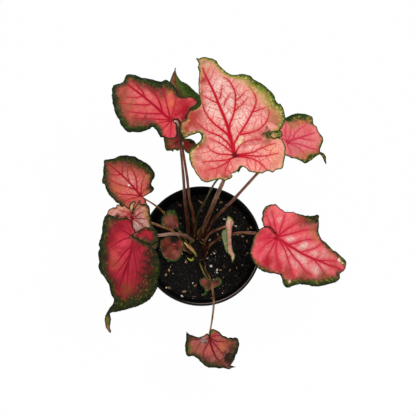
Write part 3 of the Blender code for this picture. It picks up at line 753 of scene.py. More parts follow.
LEAVES = {
    "top_large": Leaf(
        (26, 47.5, 245), 108, 10, -4, 92, 8, 0.26, 0.14, 0.22, 0.62, (1, 16),
        [(0, [(97, 2.5), (91.5, 1.5), (86.5, 3.5), (82, 3.5), (73.5, 6.5), (64, 9), (55.5, 10.5),
          (51, 11.5), (48.5, 15.5), (48, 21), (42, 26), (40, 30.5), (35.5, 32.5), (28.5, 32.5),
          (27, 31), (27.5, 27), (26, 20), (23, 19), (20, 21), (19, 25), (17.5, 29), (14.5, 31.5),
          (7, 33.5), (-11, 29), (-13.5, 25), (-14, 20.5), (-15.5, 16), (-17.5, 13.5), (-17, 10.5),
          (-17.5, 7.5), (-16.5, 6), (-14.5, 6.5), (-12, 1), (-10.5, -1), (-10.5, -2.5), (-12.5, -4.5),
          (-15, -6), (-19, -12), (-20.5, -14.5), (-20, -18.5), (-23, -22.5), (-21.5, -25), (-22, -30),
          (-18, -33), (-6.5, -38), (0.5, -36.5), (2.5, -34), (5.5, -28.5), (6, -34), (6, -38),
          (11.5, -44), (18, -46.5), (28, -46.5), (29, -44.5), (38.5, -44), (45, -41.5), (52.5, -36.5),
          (60, -32.5), (64, -28), (66, -22.5), (68.5, -18.5), (73.5, -16), (80.5, -13), (88, -11),
          (92.5, -7), (95, -2.5), (95, 0)]),
         (0.9, [(6, -30), (7.5, -31.5), (7.5, -33.5), (6, -35), (6, -37.5), (4.5, -39), (1.5, -39),
          (0.5, -36.5), (2, -34.5), (1.5, -32.5), (3.5, -30.5)])],
        [[(-0.5, 0), (26, -2.5), (42.5, -2), (60, -1.5), (78, 0), (84.5, 0)],
         [(14, -0.5), (17.5, -0.5), (26, 3.5), (30, 6), (43, 10), (53, 9.5), (62.5, 7)],
         [(3, -0.5), (8, 1), (11, 1.5), (15, 3.5), (19, 5.5), (28, 14.5), (41, 20.5)],
         [(1.5, 0), (3.5, 1), (6, 3), (10, 5), (20.5, 14)],
         [(0.5, 0.5), (3, 6), (4.5, 10), (9, 15), (12, 16.5), (15, 16.5)],
         [(-1, 1), (-1.5, 7.5), (-0.5, 11.5), (3, 24.5)],
         [(-1, 1.5), (-3, 5.5), (-6.5, 8), (-8, 9.5), (-12.5, 12)],
         [(-3, 5.5), (-5.5, 16.5), (-4.5, 20), (-4.5, 25)],
         [(20.5, -2.5), (24.5, -4), (27.5, -6), (30, -8.5), (36.5, -12.5), (50.5, -17), (54.5, -17),
          (64, -15.5), (67.5, -13)],
         [(34, -11), (36, -15.5), (39.5, -21), (42.5, -24.5)], [(42.5, -15), (44, -18), (49, -25)],
         [(46, -2), (58.5, 8)],
         [(4.5, -1), (8, -2), (26, -21.5), (37.5, -30), (45.5, -30.5), (55, -27.5)],
         [(28.5, -24.5), (29.5, -37)],
         [(14, -8), (14, -12), (13.5, -15), (14, -25.5), (18, -32.5), (24.5, -36), (29.5, -36.5)],
         [(1.5, -1.5), (4, -3.5), (7, -9), (7.5, -16), (5.5, -23.5)],
         [(0, -1), (-2.5, -14), (-1.5, -18), (-1.5, -22.5), (-1, -26), (-2, -31.5)],
         [(-0.5, -1.5), (-8, -20.5), (-10, -31)],
         [(-1.5, -1.5), (-4.5, -7.5), (-8, -12.5), (-13, -16.5), (-19.5, -19)],
         [(50, -4), (54, -6.5), (57, -7.5), (61.5, -10)], [(42.5, -5.5), (45, -7), (51, -13)]],
        [(91, 0, 2), (73, 6, 1.4), (56, 10, 1.4), (47, 21, 1.4), (38, 30, 2.2), (29, 26, 2),
         (18, 29, 3), (10, 32, 2.4), (-2, 32, 1.1), (-15, -7, 0.8), (-20, -17, 0.8), (-11, -37, 1),
         (0, -35, 0.9), (4, -30, 1.5), (7, -30, 2.2), (8, -36, 2.6), (13, -43, 3.2), (21, -47, 4.5),
         (30, -44, 7), (43, -41, 7.5), (53, -36, 7), (63, -28, 5.5), (67, -20, 3), (89, -9, 3)],
        [(-6, 1, 2.5, "scarlet", 0.4), (-11, 4, 2.5, "scarlet", 0.5), (4, 33, 2.5, "tan", 0.5),
         (-1, 33, 2, "rust", 0.6), (-7, 31, 2, "rust", 0.7), (-12, 26, 2.5, "rust", 0.6),
         (-14, 19, 2.5, "rust", 0.5), (-14, 13, 2.5, "brick", 0.5), (-17, -25, 3, "brick", 0.4),
         # (3, -23) crimson and (2, -27) rust are painted shade along a fold, next to the notch
         (-20, -20, 2, "moss", 0.4), (3, -23, 3, "crimson", 0.5), (2, -27, 3, "rust", 0.8),
         (3, -10, 3, "scarlet", 0.3), (3, -16, 2.5, "scarlet", 0.3), (18, 12, 3, "scarlet", 0.5),
         (18, 18, 3, "rust", 0.7), (90, -3, 3, "moss", 0.6), (11, 32, 2.5, "moss", 0.6),
         (72, 3, 2.5, "brick", 0.5), (30, -38, 5.5, "straw", 0.28), (-8, 19, 4.5, "coral", 0.4),
         (46, 3, 11, "shell", 0.9), (61, -8, 9.5, "shell", 0.85), (45, -8, 8.5, "shell", 0.9),
         (27, -16, 10.5, "shell", 0.65), (10, -4, 5.5, "shell", 0.9), (17, 5, 6.5, "shell", 0.7),
         (8, 7, 4.5, "shell", 0.6), (46, -19, 7.5, "shell", 0.5), (1, -13, 6, "shell", 0.5),
         (29, -6, 7.5, "shell", 0.9), (9, 13, 4.5, "blush", 0.6), (-6, -20, 6, "blush", 0.8),
         (21, -29, 7, "blush", 0.5), (83, -1, 7.5, "peach", 0.5), (-3, 18, 4.5, "blush", 0.5),
         (-9, -8, 6, "salmon", 0.5), (-6, 25, 8.5, "brick", 0.32), (-9, 13, 7, "brick", 0.3),
         (1, 30, 6, "brick", 0.3), (10, 30, 4, "rust", 0.5), (-6, 25, 7.5, "coral", 0.6),
         (-9, 13, 6, "coral", 0.6), (-6, -28, 7.5, "peach", 0.8), (-16, -27, 5.5, "peach", 0.6),
         (-15, -17, 5.5, "salmon", 0.5), (71, 7, 5.5, "brick", 0.8), (80, 1, 3.5, "brick", 0.4),
         (54, 11, 4.5, "brick", 0.6), (42, 22, 10, "brick", 1), (46, 16, 6, "brick", 0.6),
         (34, 29, 5, "brick", 0.9), (30, 21, 6.5, "brick", 0.5), (63, 7, 3.5, "crimson", 0.5),
         (73, 3, 3.5, "crimson", 0.7), (51, 11, 4, "crimson", 0.4), (17, 24, 5.5, "brick", 1.1),
         (7, 26, 4, "brick", 0.3), (13, -21, 4.5, "brick", 0.35), (10, -26, 4.5, "brick", 0.5),
         (32, -15, 4, "brick", 0.15), (-14, 12, 4, "brick", 0.5), (-11, 27, 3, "brick", 0.5),
         (35, 29, 3.5, "rust", 0.8), (14, 30, 3, "straw", 0.6), (11, 34, 2.5, "straw", 0.4),
         (19, 19, 2.5, "moss", 0.7), (10, -40, 3, "pine", 0.6), (16, -45, 2.5, "umber", 0.5),
         (23, 19, 3, "pine", 1.2), (20, 21, 2.5, "pine", 1.1), (27, 22, 2.5, "pine", 0.9),
         (18, 26, 2.5, "pine", 0.8), (-16, 11, 2.5, "umber", 0.8), (-16, 15, 2.5, "rust", 0.8),
         (15, 31, 2.5, "pine", 0.5), (30, 31, 2.5, "pine", 0.8), (29, 26, 2.5, "pine", 0.8),
         (8, -9, 1.5, "rust", 0.6), (17, -40, 5.5, "rust", 0.75), (12, -41, 3, "umber", 0.6),
         # (5, -28) umber is painted shade in the notch between the lobes
         (5, -28, 2.5, "umber", 0.7), (18, -39, 5.5, "tan", 0.7), (25, -39, 4, "tan", 0.7),
         (38, -35, 6, "tan", 0.45), (39, -35, 3.5, "straw", 0.5), (27, -38, 5, "tan", 0.5),
         (56, -29, 5, "straw", 0.5), (47, -33, 4, "straw", 0.5), (86, -6, 4.5, "straw", 0.4),
         # (7, -29) pine is painted shade in the notch between the lobes
         (9, -7, 3, "straw", 0.75), (7, -29, 3.5, "pine", 1.4), (4, -36, 2.5, "moss", 1.3),
         # (7, -21) crimson, and (6, -16) and (5, -10) below, are painted shade along a fold
         (2, -38, 2, "umber", 0.9), (-15, -30, 3, "tan", 0.4), (7, -21, 3, "crimson", 0.6),
         (6, -16, 3, "crimson", 0.6), (5, -10, 2.5, "crimson", 0.6)],
        [(-16.5, 6, 4, 3, 120)], "pink"),
    "upper_left": Leaf(
        (-23, 81, 222), 148, 16, 6, 64, 10, 0.40, 0.16, 0.25, 0.58, (0.8, 14),
        [(0, [(67.5, -8.5), (65.5, -3.5), (49.5, 12.5), (39, 19), (33.5, 22.5), (25.5, 25), (21.5, 23),
          (17, 20.5), (13, 17), (10.5, 15), (9.5, 12.5), (6.5, 12.5), (-1.5, 16), (-4.5, 15.5),
          (-8, 15), (-10, 13), (-12, 10), (-8.5, 3), (-5.5, 0.5), (-2.5, -0.5), (-2, -2), (-4.5, -3),
          (-7, -2.5), (-10, -1), (-12, -2.5), (-10.5, -10), (-9, -15.5), (-11, -18.5), (-11.5, -22),
          (-8, -25.5), (-1.5, -25.5), (1, -23), (3.5, -21.5), (7, -22), (11.5, -25.5), (26, -30),
          (29, -27), (39, -25), (50.5, -22.5), (57, -22.5), (61, -20.5), (60.5, -15), (62, -12.5),
          (64.5, -11)])],
        [[(-0.5, -0.5), (6, -1.5), (23, -6), (47.5, -11), (54, -12.5), (61, -12.5)],
         [(8.5, -2.5), (18.5, 3), (36.5, 9.5)], [(23.5, -6), (27, -3), (34.5, 0), (42, 3), (49, 5)],
         [(1, 0), (9.5, 4.5), (28, 12)], [(9.5, -2.5), (21.5, -12), (39, -18), (45, -20)],
         [(1.5, -1.5), (21, -19.5), (28, -24)], [(0.5, -2), (4, -10.5), (7, -18), (12.5, -24)],
         [(-0.5, -2), (-2.5, -9.5), (-4, -18.5), (-6, -23)], [(0, 0.5), (1, 12)],
         [(-1, 1), (-5, 7), (-8, 12.5)], [(0.5, 0.5), (10.5, 11)], [(-1.5, -1.5), (-8.5, -9)],
         [(34.5, -8.5), (39, -5), (47, -2.5)], [(30.5, -7.5), (37, -11.5), (45, -14.5), (52.5, -18)]],
        [(66, -5, 6), (36, 21, 5), (26, 23, 6), (18, 20, 6), (12, 15, 5), (4, 13, 4), (-1, 16, 2),
         (-8, 15, 0.8), (-11, 8, 0.8), (-2, -1, 0.5), (-5, -26, 1.2), (2, -22, 1.2), (10, -24, 3.5),
         (20, -28, 6), (28, -28, 9), (34, -26, 8), (44, -24, 6), (60, -15, 5.5), (65, -10, 4)],
        [(34, -8, 8, "salmon", 0.8), (23, -5, 6, "salmon", 0.4), (43, -5, 7.5, "salmon", 0.5),
         (11, -1, 4.5, "rose", 0.5), (51, -1, 7, "rust", 0.7), (39, 8, 6.5, "rust", 0.55),
         (28, 13, 5.5, "rust", 0.5), (53, -10, 6, "rust", 0.3), (40, 2, 5, "tan", 0.3),
         (23, 14, 6, "plum", 0.55), (23, 14, 5.5, "rust", 0.4), (15, 10, 4.5, "plum", 0.7),
         # (-8, -12) umber and (-7, -14) wine are painted shade next to the edge of the large leaf above
         (15, -20, 3, "orange", 0.8), (8, -12, 3.5, "orange", 0.5), (-8, -12, 5, "umber", 1.4),
         (-7, -14, 5, "wine", 0.8), (-1, -17, 7.5, "crimson", 0.85), (-2, -9, 5, "crimson", 0.85),
         (17, -14, 3.5, "rust", 0.4), (27, -20, 6.5, "umber", 0.7), (26, -18, 4.5, "wine", 0.5),
         (19, -18, 4.5, "umber", 0.5), (36, -19, 5, "umber", 0.6), (21, -14, 3.5, "rust", 0.4),
         (-5, 11, 6, "rose", 0.7)],
        [], "red"),
    "upper_left_rear": Leaf(
        (-16, 75.5, 189), 97, 14, 0, 64, 9, 0.35, 0.16, 0.25, 0.70, (0.8, 12),
        [(0, [(78, -2.5), (62.5, 3), (53, 6), (43, 10), (33.5, 14.5), (21.5, 17), (11.5, 16.5),
          (3.5, 14.5), (-10, 13), (-10.5, 9), (-12, 8), (-10.5, 6.5), (-11.5, 4), (-9.5, 1.5),
          (-1, -0.5), (-3.5, -1), (-9, -1), (-13.5, -2.5), (-15.5, -5.5), (-14, -9), (-10, -12),
          (-5, -11), (-2, -7.5), (-0.5, -4), (1.5, -7.5), (7, -16), (17, -23), (28, -25), (36, -23),
          (50.5, -13), (59, -6.5), (66.5, -3)])],
        [[(0, 0), (17.5, -1), (72, -1.5)], [(-1, 0), (-4, 5.5), (-7.5, 10)],
         [(-1.5, -0.5), (-6, -3.5), (-11, -5.5)], [(15.5, -0.5), (26, 5), (35, 7.5)],
         [(15.5, -0.5), (24, -8.5), (33.5, -14.5)]],
        [(75, -2, 1), (62, 3, 1.2), (29, 15, 3), (-1, 14, 2.2), (-9, 13, 2), (-11, 6, 1.6),
         (-6, 1, 0.6), (-9, -1, 0.6), (-14, -6, 1.4), (-2, -7, 2.2), (30, -23, 14), (51, -13, 14),
         (61, -5, 8), (65, -3, 1)],
        [(65, 0, 4.5, "tan", 0.5), (55, 2, 4, "tan", 0.7), (52, -3, 3.5, "tan", 0.4),
         (-3, 9, 3.5, "tan", 0.6), (-6, 8, 3, "coral", 0.8), (-8, 5, 2.5, "salmon", 0.6),
         (-5, -2, 3.5, "scarlet", 0.9), (-9, -6, 4, "brick", 0.7), (-1, -3, 1.5, "pine", 1.6),
         (-2, -6, 2, "pine", 1.9), (-4, -9, 2, "pine", 1.9), (-2, 4, 3.5, "rose", 0.7)],
        [(-2, -5.5, 5, 3, 160)], "green"),
    "upper_right": Leaf(
        (68.5, 65, 216), -16, 22, 8, 52, 10, 0.40, 0.22, 0.25, 0.50, (0.7, 12),
        [(0, [(-7.5, 17.5), (-4.5, 20), (-1, 24), (11, 27), (14, 26), (15.5, 23), (17, 21.5),
          (20, 20.5), (22.5, 18), (28.5, 15), (29.5, 13), (29.5, 5), (30.5, 3.5), (34, 3), (37.5, 1.5),
          (41, -4), (31.5, 1), (29, -0.5), (24, -7), (19.5, -10.5), (15, -10), (10, -10), (5.5, -10.5),
          (-9.5, -9), (-15.5, -7), (-19, -3.5), (-19.5, 1.5), (-13, 8.5), (-10.5, 14)])],
        [[(-0.5, 0), (3.5, 3.5), (19, 15)], [(-0.5, 0), (2.5, 3), (3, 8.5), (5, 13), (9, 18)],
         [(-1, 0), (-0.5, 7), (-3.5, 17)], [(-1, 0), (-4.5, 5.5), (-7, 15.5)],
         [(-1.5, 0), (-10.5, 4.5)], [(0, 0), (9.5, 2), (19, 2.5), (29, 3.5), (37.5, 0)],
         [(0.5, -0.5), (8.5, -0.5), (15, -2.5), (20.5, -6)], [(0, -1.5), (7, -9)],
         [(7.5, 6.5), (22, 9.5)]],
        [(-10, 14, 0.5), (-7, 17, 1.5), (-6, 18, 6), (-3, 21, 7), (2, 25, 6), (14, 25, 5), (18, 21, 1),
         (23, 17, 1), (28, 14, 2), (30, 3, 2.5), (26, -4, 5), (23, -7, 5), (18, -10, 3), (12, -10, 1.4),
         (4, -10, 1.2), (-18, -4, 0.3), (-14, 7, 0.3)],
        [(7, 12, 4, "salmon", 0.8), (12, 15, 4.5, "coral", 0.6), (20, 9, 6, "salmon", 0.4),
         (4, 21, 5, "orange", 0.85), (-1, 14, 3.5, "tan", 0.7), (-5, 17, 3.5, "moss", 0.9),
         (1, 20, 3.5, "rust", 0.7), (10, 23, 3.5, "umber", 0.7), (7, -4, 6, "dusk", 0.35),
         (13, 2, 5, "blush", 0.5), (7, 2, 3.5, "blush", 0.5), (21, -4, 4.5, "tan", 0.9),
         (14, -6, 3.5, "tan", 0.5), (26, 9, 3.5, "tan", 0.35), (16, -3, 4.5, "coral", 0.5),
         (-6, 6, 3, "coral", 0.3), (-12, 4, 5, "salmon", 0.5)],
        [(-5, 19.5, 7, 2.5, 100)], "rose"),
    "under_top": Leaf(
        (26.2, 55.8, 190), 84, 20, 0, 40, 10, 0.30, 0.20, 0.25, 0.90, (0.5, 12),
        [(0, [(40, 0), (29, 8), (15, 13), (3, 14), (-8, 11.5), (-9, 4), (-4, 0), (-10, -5.4), (-5, -8),
          (-3, -12), (3, -14), (15, -13), (29, -8)])],
        [],
        [(40, 0, 4), (0, 14, 4), (-8, 0, 0.3), (0, -14, 4)],
        [(-7, 0, 13, "pine", 1.4)],
        [], "green"),
    "right": Leaf(
        (63, -2, 160), -26, 20, 0, 72, 9, 0.32, 0.18, 0.25, 0.62, (0.8, 13),
        [(0, [(67.5, 14.5), (72.5, 12.5), (74.5, 9), (74, 4.5), (72.5, 1), (74, -2), (72.5, -6),
          (68, -10), (56, -19), (43, -23.5), (36.5, -26.5), (28.5, -33), (25.5, -33.5), (17.5, -27),
          (14.5, -27.5), (3, -31), (-1, -31), (-9.5, -28), (-15.5, -22), (-17, -13.5), (-18, -4.5),
          (-13.5, 2.5), (-10.5, 4), (-2, 2), (-6.5, 4.5), (-10.5, 4.5), (-13.5, 3), (-18.5, 7.5),
          (-19, 10.5), (-20, 12.5), (-20.5, 16), (-19.5, 19.5), (-14, 24), (-8.5, 23), (-2.5, 23),
          (2.5, 25.5), (8, 26.5), (13.5, 28), (20, 31), (23.5, 33), (26, 33), (29, 29.5), (34.5, 20),
          (38, 18), (44.5, 17), (52.5, 15.5)]),
         (-1, [(-14.5, 5.5), (-13.5, 7.5), (-9, 8), (0.5, 3.5), (0.5, -0.5), (-3, -0.5), (-8, 1),
          (-12, 1.5)])],
        [[(0.5, 0), (16, -1), (32, -1), (47, 1), (56, 2), (65, 4), (71.5, 4.5)],
         [(1, 1), (8, 6.5), (21, 18), (29.5, 23)],
         [(1, 1), (4.5, 9.5), (8, 14.5), (12, 20.5), (18.5, 27)],
         [(12, -1), (18, 4), (25, 10.5), (34, 15)], [(26, -1), (36.5, 8.5), (39, 13.5)],
         [(5.5, 0), (22, -7.5), (30, -10), (37, -13), (45, -13)],
         [(3, -1), (11.5, -6), (18, -12.5), (30.5, -24)],
         [(1.5, -1), (3.5, -8.5), (8, -15.5), (14.5, -21.5)],
         [(0.5, -1.5), (0, -9.5), (-0.5, -17), (2.5, -24)], [(-0.5, -1.5), (-6, -9.5), (-9, -17.5)],
         [(-1, -1), (-8, -5), (-14.5, -10)], [(-1, 1), (-14, 10), (-18, 14.5)],
         [(-0.5, 2), (-13.5, 17)], [(0.5, 2.5), (-2, 19.5)],
         [(37.5, -0.5), (45, -1.5), (52.5, -4.5), (58.5, -8.5)], [(44, 0.5), (62, 8.5)]],
        [(71, 12, 3.5), (74, 5, 1.4), (74, -3, 5), (66, -11, 6.5), (56, -19, 6.5), (43, -24, 6),
         (32, -30, 5.5), (25, -33, 5), (19, -28, 2.5), (12, -27, 2), (7, -30, 3), (-1, -31, 3.6),
         (-8, -29, 2.2), (-14, -24, 1.6), (-18, -6, 1.8), (-14, 2, 0.8), (-6, 4, 0.5), (-11, 5, 0.3),
         (-18, 7, 1.6), (-21, 14, 2), (-19, 19, 2), (-16, 23, 1), (-9, 23, 0.3), (2, 25, 0.4),
         (12, 27, 1.6), (20, 31, 4), (26, 32, 4), (30, 27, 2), (36, 19, 2), (46, 17, 2.8),
         (58, 15, 2.6)],
        [(0, -26, 5, "scarlet", 0.55), (-8, -27, 4, "rose", 0.6), (-9, -8, 4.5, "scarlet", 0.4),
         (14, -24, 5.5, "scarlet", 0.5), (26, -22, 4.5, "scarlet", 0.4), (13, 21, 4.5, "brick", 0.45),
         (28, -6, 7.5, "shell", 0.8), (21, -2, 4.5, "shell", 0.8), (15, -7, 3.5, "shell", 0.9),
         (21, -13, 4.5, "blush", 0.9), (13, -12, 3.5, "blush", 0.6), (11, 4, 4.5, "shell", 0.9),
         (26, 5, 5.5, "shell", 0.9), (37, 4, 5.5, "shell", 0.6), (48, -4, 8, "shell", 0.7),
         (49, 5, 6.5, "blush", 0.6), (37, -11, 5.5, "blush", 0.5), (-4, 14, 2.5, "shell", 0.5),
         (-11, 12, 3.5, "blush", 0.5), (-7, -13, 3.5, "blush", 0.5), (-1, -12, 3.5, "blush", 0.5),
         (11, -5, 3.5, "shell", 0.6), (-10, -4, 7, "rose", 1), (-12, 0, 5, "crimson", 0.5),
         (-10, -18, 7, "rose", 0.8), (-15, -12, 3.5, "brick", 0.4), (2, -22, 6, "crimson", 0.85),
         (12, -21, 7, "crimson", 0.6), (22, -22, 5.5, "brick", 0.9), (39, -17, 6.5, "brick", 0.8),
         (55, -9, 6, "rust", 0.7), (-15, 16, 5, "brick", 0.3), (9, -2, 3.5, "rose", 0.5),
         (18, 27, 6.5, "umber", 0.9), (24, 29, 4.5, "pine", 1.2), (25, 32, 3, "moss", 0.8),
         (10, 25, 4.5, "rust", 0.6), (26, 23, 3.5, "umber", 0.5), (14, 20, 5.5, "rust", 0.35),
         (26, 21, 4.5, "tan", 0.6), (33, 16, 3.5, "tan", 0.6), (64, 11, 1.5, "cream", 1.7),
         (69, 10, 1, "cream", 1.4), (28, -28, 1.5, "cream", 1.1), (-9, -30, 3.5, "orange", 0.8),
         (6, -26, 2.5, "umber", 0.5), (58, -9, 5, "rust", 0.5), (53, 13, 5, "tan", 0.4),
         (63, 4, 4, "rust", 0.4), (70, 1, 3, "umber", 0.8), (-18, -8, 2.5, "moss", 0.6)],
        [(24.5, 32.5, 2.5, 2, 110)], "coral"),
    "left_back": Leaf(
        (-50.5, 33.5, 158), 136, 18, 0, 50, 9, 0.35, 0.16, 0.25, 0.52, (0.7, 11),
        [(0, [(56, -2.5), (52, -6), (49, -8.5), (46, -14.5), (38.5, -19.5), (34.5, -22), (25, -23.5),
          (20, -24.5), (15, -24.5), (5.5, -22), (2.5, -18.5), (1.5, -15), (-1, -10), (-4, -10.5),
          (-5, -8.5), (-3.5, -3), (-2, -0.5), (-4, -0.5), (-12, 3), (-14, 6), (-13, 9.5), (-7.5, 7),
          (-3, 4), (-6, 9), (-5, 13), (-0.5, 16), (6, 17.5), (9.5, 17.5), (12, 18.5), (16, 18),
          (21.5, 18), (27, 17), (34.5, 13.5), (37.5, 14), (40, 13), (42.5, 9.5), (55.5, -1)])],
        [[(-0.5, 0), (19.5, -2), (39, -2.5), (51.5, -2)],
         [(6, -1), (12.5, -6.5), (18.5, -10), (26.5, -12.5), (32, -16.5)],
         [(1, -1), (6, -6.5), (9, -11), (11.5, -17)], [(7.5, -1), (17.5, 2.5), (25, 5.5), (35, 8)],
         [(30.5, -2), (34.5, 1.5), (40.5, 5)], [(0.5, 0.5), (8, 5.5), (15, 10.5), (24, 12.5)],
         [(0, 1), (5, 8.5), (7, 15)], [(28.5, -2.5), (33.5, -7.5), (40.5, -11.5)],
         [(18, -2), (25, -6.5), (30, -11.5)], [(0.5, -1), (2, -13.5)]],
        [(55, -4, 2.5), (49, -9, 5), (43, -17, 8), (34, -22, 9), (24, -24, 7.5), (13, -24, 6.5),
         (5, -20, 4.5), (0, -13, 2.2), (-4, -10, 1.6), (-4, -4, 0.5), (-7, 1, 1), (-6, 5, 0.5),
         (-2, 15, 0.8), (10, 17, 4), (32, 15, 4), (40, 12, 5.5), (48, 5, 4)],
        [(16, 0, 1, "cream", 1.6), (21, -2, 9.5, "salmon", 0.6), (22, -2, 7, "blush", 0.7),
         (7, 4, 5.5, "salmon", 0.6), (13, -4, 5.5, "blush", 0.5), (23, 7, 6, "peach", 0.25),
         (12, 3, 5.5, "salmon", 0.6), (8, -9, 3.5, "salmon", 0.5), (33, -3, 6, "coral", 0.5),
         (30, -14, 6, "umber", 0.35), (36, 8, 4.5, "umber", 0.6), (44, -2, 4, "plum", 0.4),
         (39, -6, 5, "rust", 0.55), (29, -11, 6, "rust", 0.45), (17, -15, 5.5, "rust", 0.45),
         (4, -10, 4.5, "rust", 0.3), (23, 7, 7.5, "brick", 0.6), (44, -2, 6.5, "brick", 0.3),
         (21, 10, 5, "orange", 0.5), (8, -15, 3.5, "tan", 0.8), (8, 12, 5.5, "crimson", 0.5),
         (-1, -6, 2, "tan", 1), (0, -9, 2, "umber", 0.8), (-1, 7, 4.5, "crimson", 0.4)],
        [(-2, -10.5, 5, 2.5, 160)], "coral_dark"),
    "left_crumpled": Leaf(
        (-57.5, 13.5, 166), -100, 28, 0, 44, 22, 0.20, 0.20, 0.20, 0.50, (1.4, 9),
        [(0, [(0, -22), (-6, -19.5), (-7.5, -17), (-8, -14.5), (-10.5, -13.5), (-11, -11.5), (-9.5, -9),
          (-10.5, -7.5), (-8.5, -5), (-8.5, -3), (-11, -3), (-13, -2.5), (-14, 0), (-13.5, 2),
          (-10.5, 1), (-4.5, 0.5), (-14.5, 4.5), (-13.5, 7), (-13, 13.5), (-4, 17.5), (-1.5, 19),
          (1, 20), (3.5, 22.5), (7, 25), (16, 28), (20, 27), (33, 12), (35, -1), (27.5, -12.5),
          (16.5, -19.5), (7.5, -22.5)])],
        [[(0, 0), (19, 5), (30.5, 6)], [(0, 0), (-2.5, 4), (-6.5, 8), (-9, 12.5)],
         [(1, 0.5), (2, 6.5), (4, 11.5), (7.5, 17)], [(0, 0), (-6.5, 3), (-11, 6.5)],
         [(-0.5, -0.5), (-4, -5), (-6, -11.5)], [(0, -0.5), (-0.5, -15)],
         [(-0.5, 0), (-5.5, -1.5), (-10, -2)], [(0.5, 0.5), (-1.5, 8), (-2.5, 14.5)]],
        [(-2, -21, 1), (-9, -6, 0.6), (-13, -2, 2.4), (-14, 0, 1.5), (-8, 1, 1.2), (-13, 11, 1.8),
         (-5, 17, 3), (16, 27, 4), (26, 21, 3), (31, -7, 2), (9, -22, 2)],
        [(-2, 7, 4.5, "blush", 0.6), (5, 6, 4.5, "shell", 1), (-9, 1, 2, "pine", 1.2),
         (-14, 7, 2.5, "pine", 1.2), (-13, 13, 2, "pine", 1), (0, -12, 2.5, "pine", 1),
         (0, -5, 2, "pine", 1), (6, -20, 4.5, "umber", 0.6), (-3, -15, 3.5, "blush", 0.4),
         (-2, -8, 2.5, "coral", 0.5), (-8, -9, 3.5, "peach", 1), (-8, -4, 3, "peach", 0.9),
         (-3, -3, 2.5, "scarlet", 0.8), (-6, 15, 4.5, "tan", 1), (8, 20, 3.5, "brick", 0.8),
         (1, 10, 5.5, "shell", 0.5), (3, 18, 2.5, "straw", 0.9), (-11, 0, 2.5, "straw", 1),
         (-11, 7, 2.5, "tan", 0.7)],
        [(-13.5, 11.5, 6, 2.5, 120), (-7, 0.5, 3, 2, 120)], "crumpled"),
    "left_front": Leaf(
        (-54, -4, 181), -108, 24, 0, 76, 10, 0.36, 0.20, 0.20, 0.60, (0.8, 13),
        [(0, [(77.5, -6.5), (83, -7), (95.5, -2.5), (97.5, 0.5), (90.5, -1), (82.5, -1.5), (75.5, -3),
          (71.5, 3), (67.5, 9.5), (52, 25), (47, 28), (35.5, 30.5), (30, 29), (23.5, 29), (17, 28),
          (6.5, 21.5), (3, 17), (1.5, 12), (1, -0.5), (-1.5, -0.5), (-4, 0.5), (-7, -2.5),
          (-11.5, -5.5), (-13, -8), (-12, -13.5), (-10.5, -17.5), (-11, -21), (-10.5, -25),
          (-8.5, -27.5), (8.5, -26), (16.5, -26.5), (19, -24.5), (22.5, -25), (29, -23), (35.5, -22),
          (40.5, -19.5), (43.5, -15), (48, -10), (54, -7), (64, -2.5), (70, -4.5)]),
         (-1.6, [(1, -2.5), (-2, -1), (-4, 1), (-10.5, 8.5), (-10, 15.5), (-3, 20.5), (0.5, 18.5),
          (3.5, 16), (2.5, 1)])],
        [[(0.5, 0), (18.5, 1.5), (37, 0), (47, -0.5), (58.5, -2), (72.5, -5)],
         [(7.5, 1), (16.5, -4), (26, -7.5), (33, -12)], [(1, 0), (6, -8.5), (21, -20.5)],
         [(0, -0.5), (-2, -10.5), (-1.5, -18), (2, -23.5)],
         [(-0.5, -0.5), (-7.5, -8), (-10, -13.5)],
         [(4, 0.5), (13, 3.5), (23, 8), (36, 11.5), (50.5, 13)],
         [(1.5, 0.5), (9.5, 7.5), (28, 20), (40, 22)], [(14.5, 1.5), (33.5, -4.5), (42.5, -8.5)],
         [(21, 1.5), (31.5, 3), (44.5, 5.5), (56.5, 5.5)], [(1.5, 1.5), (6.5, 11.5), (14, 21)],
         [(-0.5, 1), (-6, 12.5)]],
        [(83, -6, 1), (95, -1, 0.6), (73, -1, 9), (67, 9, 12), (57, 20, 12), (48, 27, 12), (37, 30, 10),
         (22, 29, 8), (11, 25, 7), (4, 20, 5), (3, 14, 3.4), (1, 3, 3), (1, -1, 2.5), (-2, -1, 0.4),
         (-11, -5, 0.8), (-11, -17, 2), (-10, -26, 6), (1, -27, 7), (28, -24, 7), (38, -21, 7),
         (45, -13, 5), (57, -5, 4), (66, -4, 8)],
        [(6, -7, 6.5, "rose", 0.9), (17, -1, 6, "rose", 0.7), (26, -7, 7, "coral", 0.6),
         (22, 4, 5, "rose", 0.7), (20, -11, 5, "coral", 0.5), (41, -1, 5.5, "rose", 0.4),
         (-4, -15, 6.5, "wine", 0.7), (5, -19, 6, "wine", 0.7), (3, -10, 3.5, "scarlet", 0.5),
         # (17, 19), (29, 20), (9, 16), (41, 18) and (53, 15) umber are painted shade on the half of the
         # blade turned from the light
         (8, 5, 4.5, "wine", 0.8), (15, 9, 4.5, "crimson", 0.5), (17, 19, 7.5, "umber", 0.95),
         (29, 20, 8, "umber", 0.9), (9, 16, 5, "umber", 0.9), (41, 18, 7, "umber", 0.85),
         (22, -24, 4.5, "umber", 0.7), (28, -9, 5, "brick", 0.4), (42, -1, 5.5, "wine", 0.4),
         (49, 7, 7.5, "rust", 0.8), (22, 5, 4.5, "wine", 0.5), (27, -10, 5, "rust", 0.5),
         (25, -18, 4.5, "umber", 0.8), (13, -21, 3.5, "umber", 0.6), (53, 15, 6.5, "umber", 0.7),
         (87, -4, 7, "moss", 0.9), (92, -2, 4, "tan", 0.8), (-4, -22, 3.5, "tan", 0.6),
         (46, -5, 5.5, "umber", 0.5), (-4, -20, 4, "umber", 0.5), (-6, 10, 6.5, "crimson", 0.9),
         (0, 11, 3.5, "umber", 0.8), (1, 0, 2.5, "fern", 0.9), (2, 5, 2, "fern", 0.7),
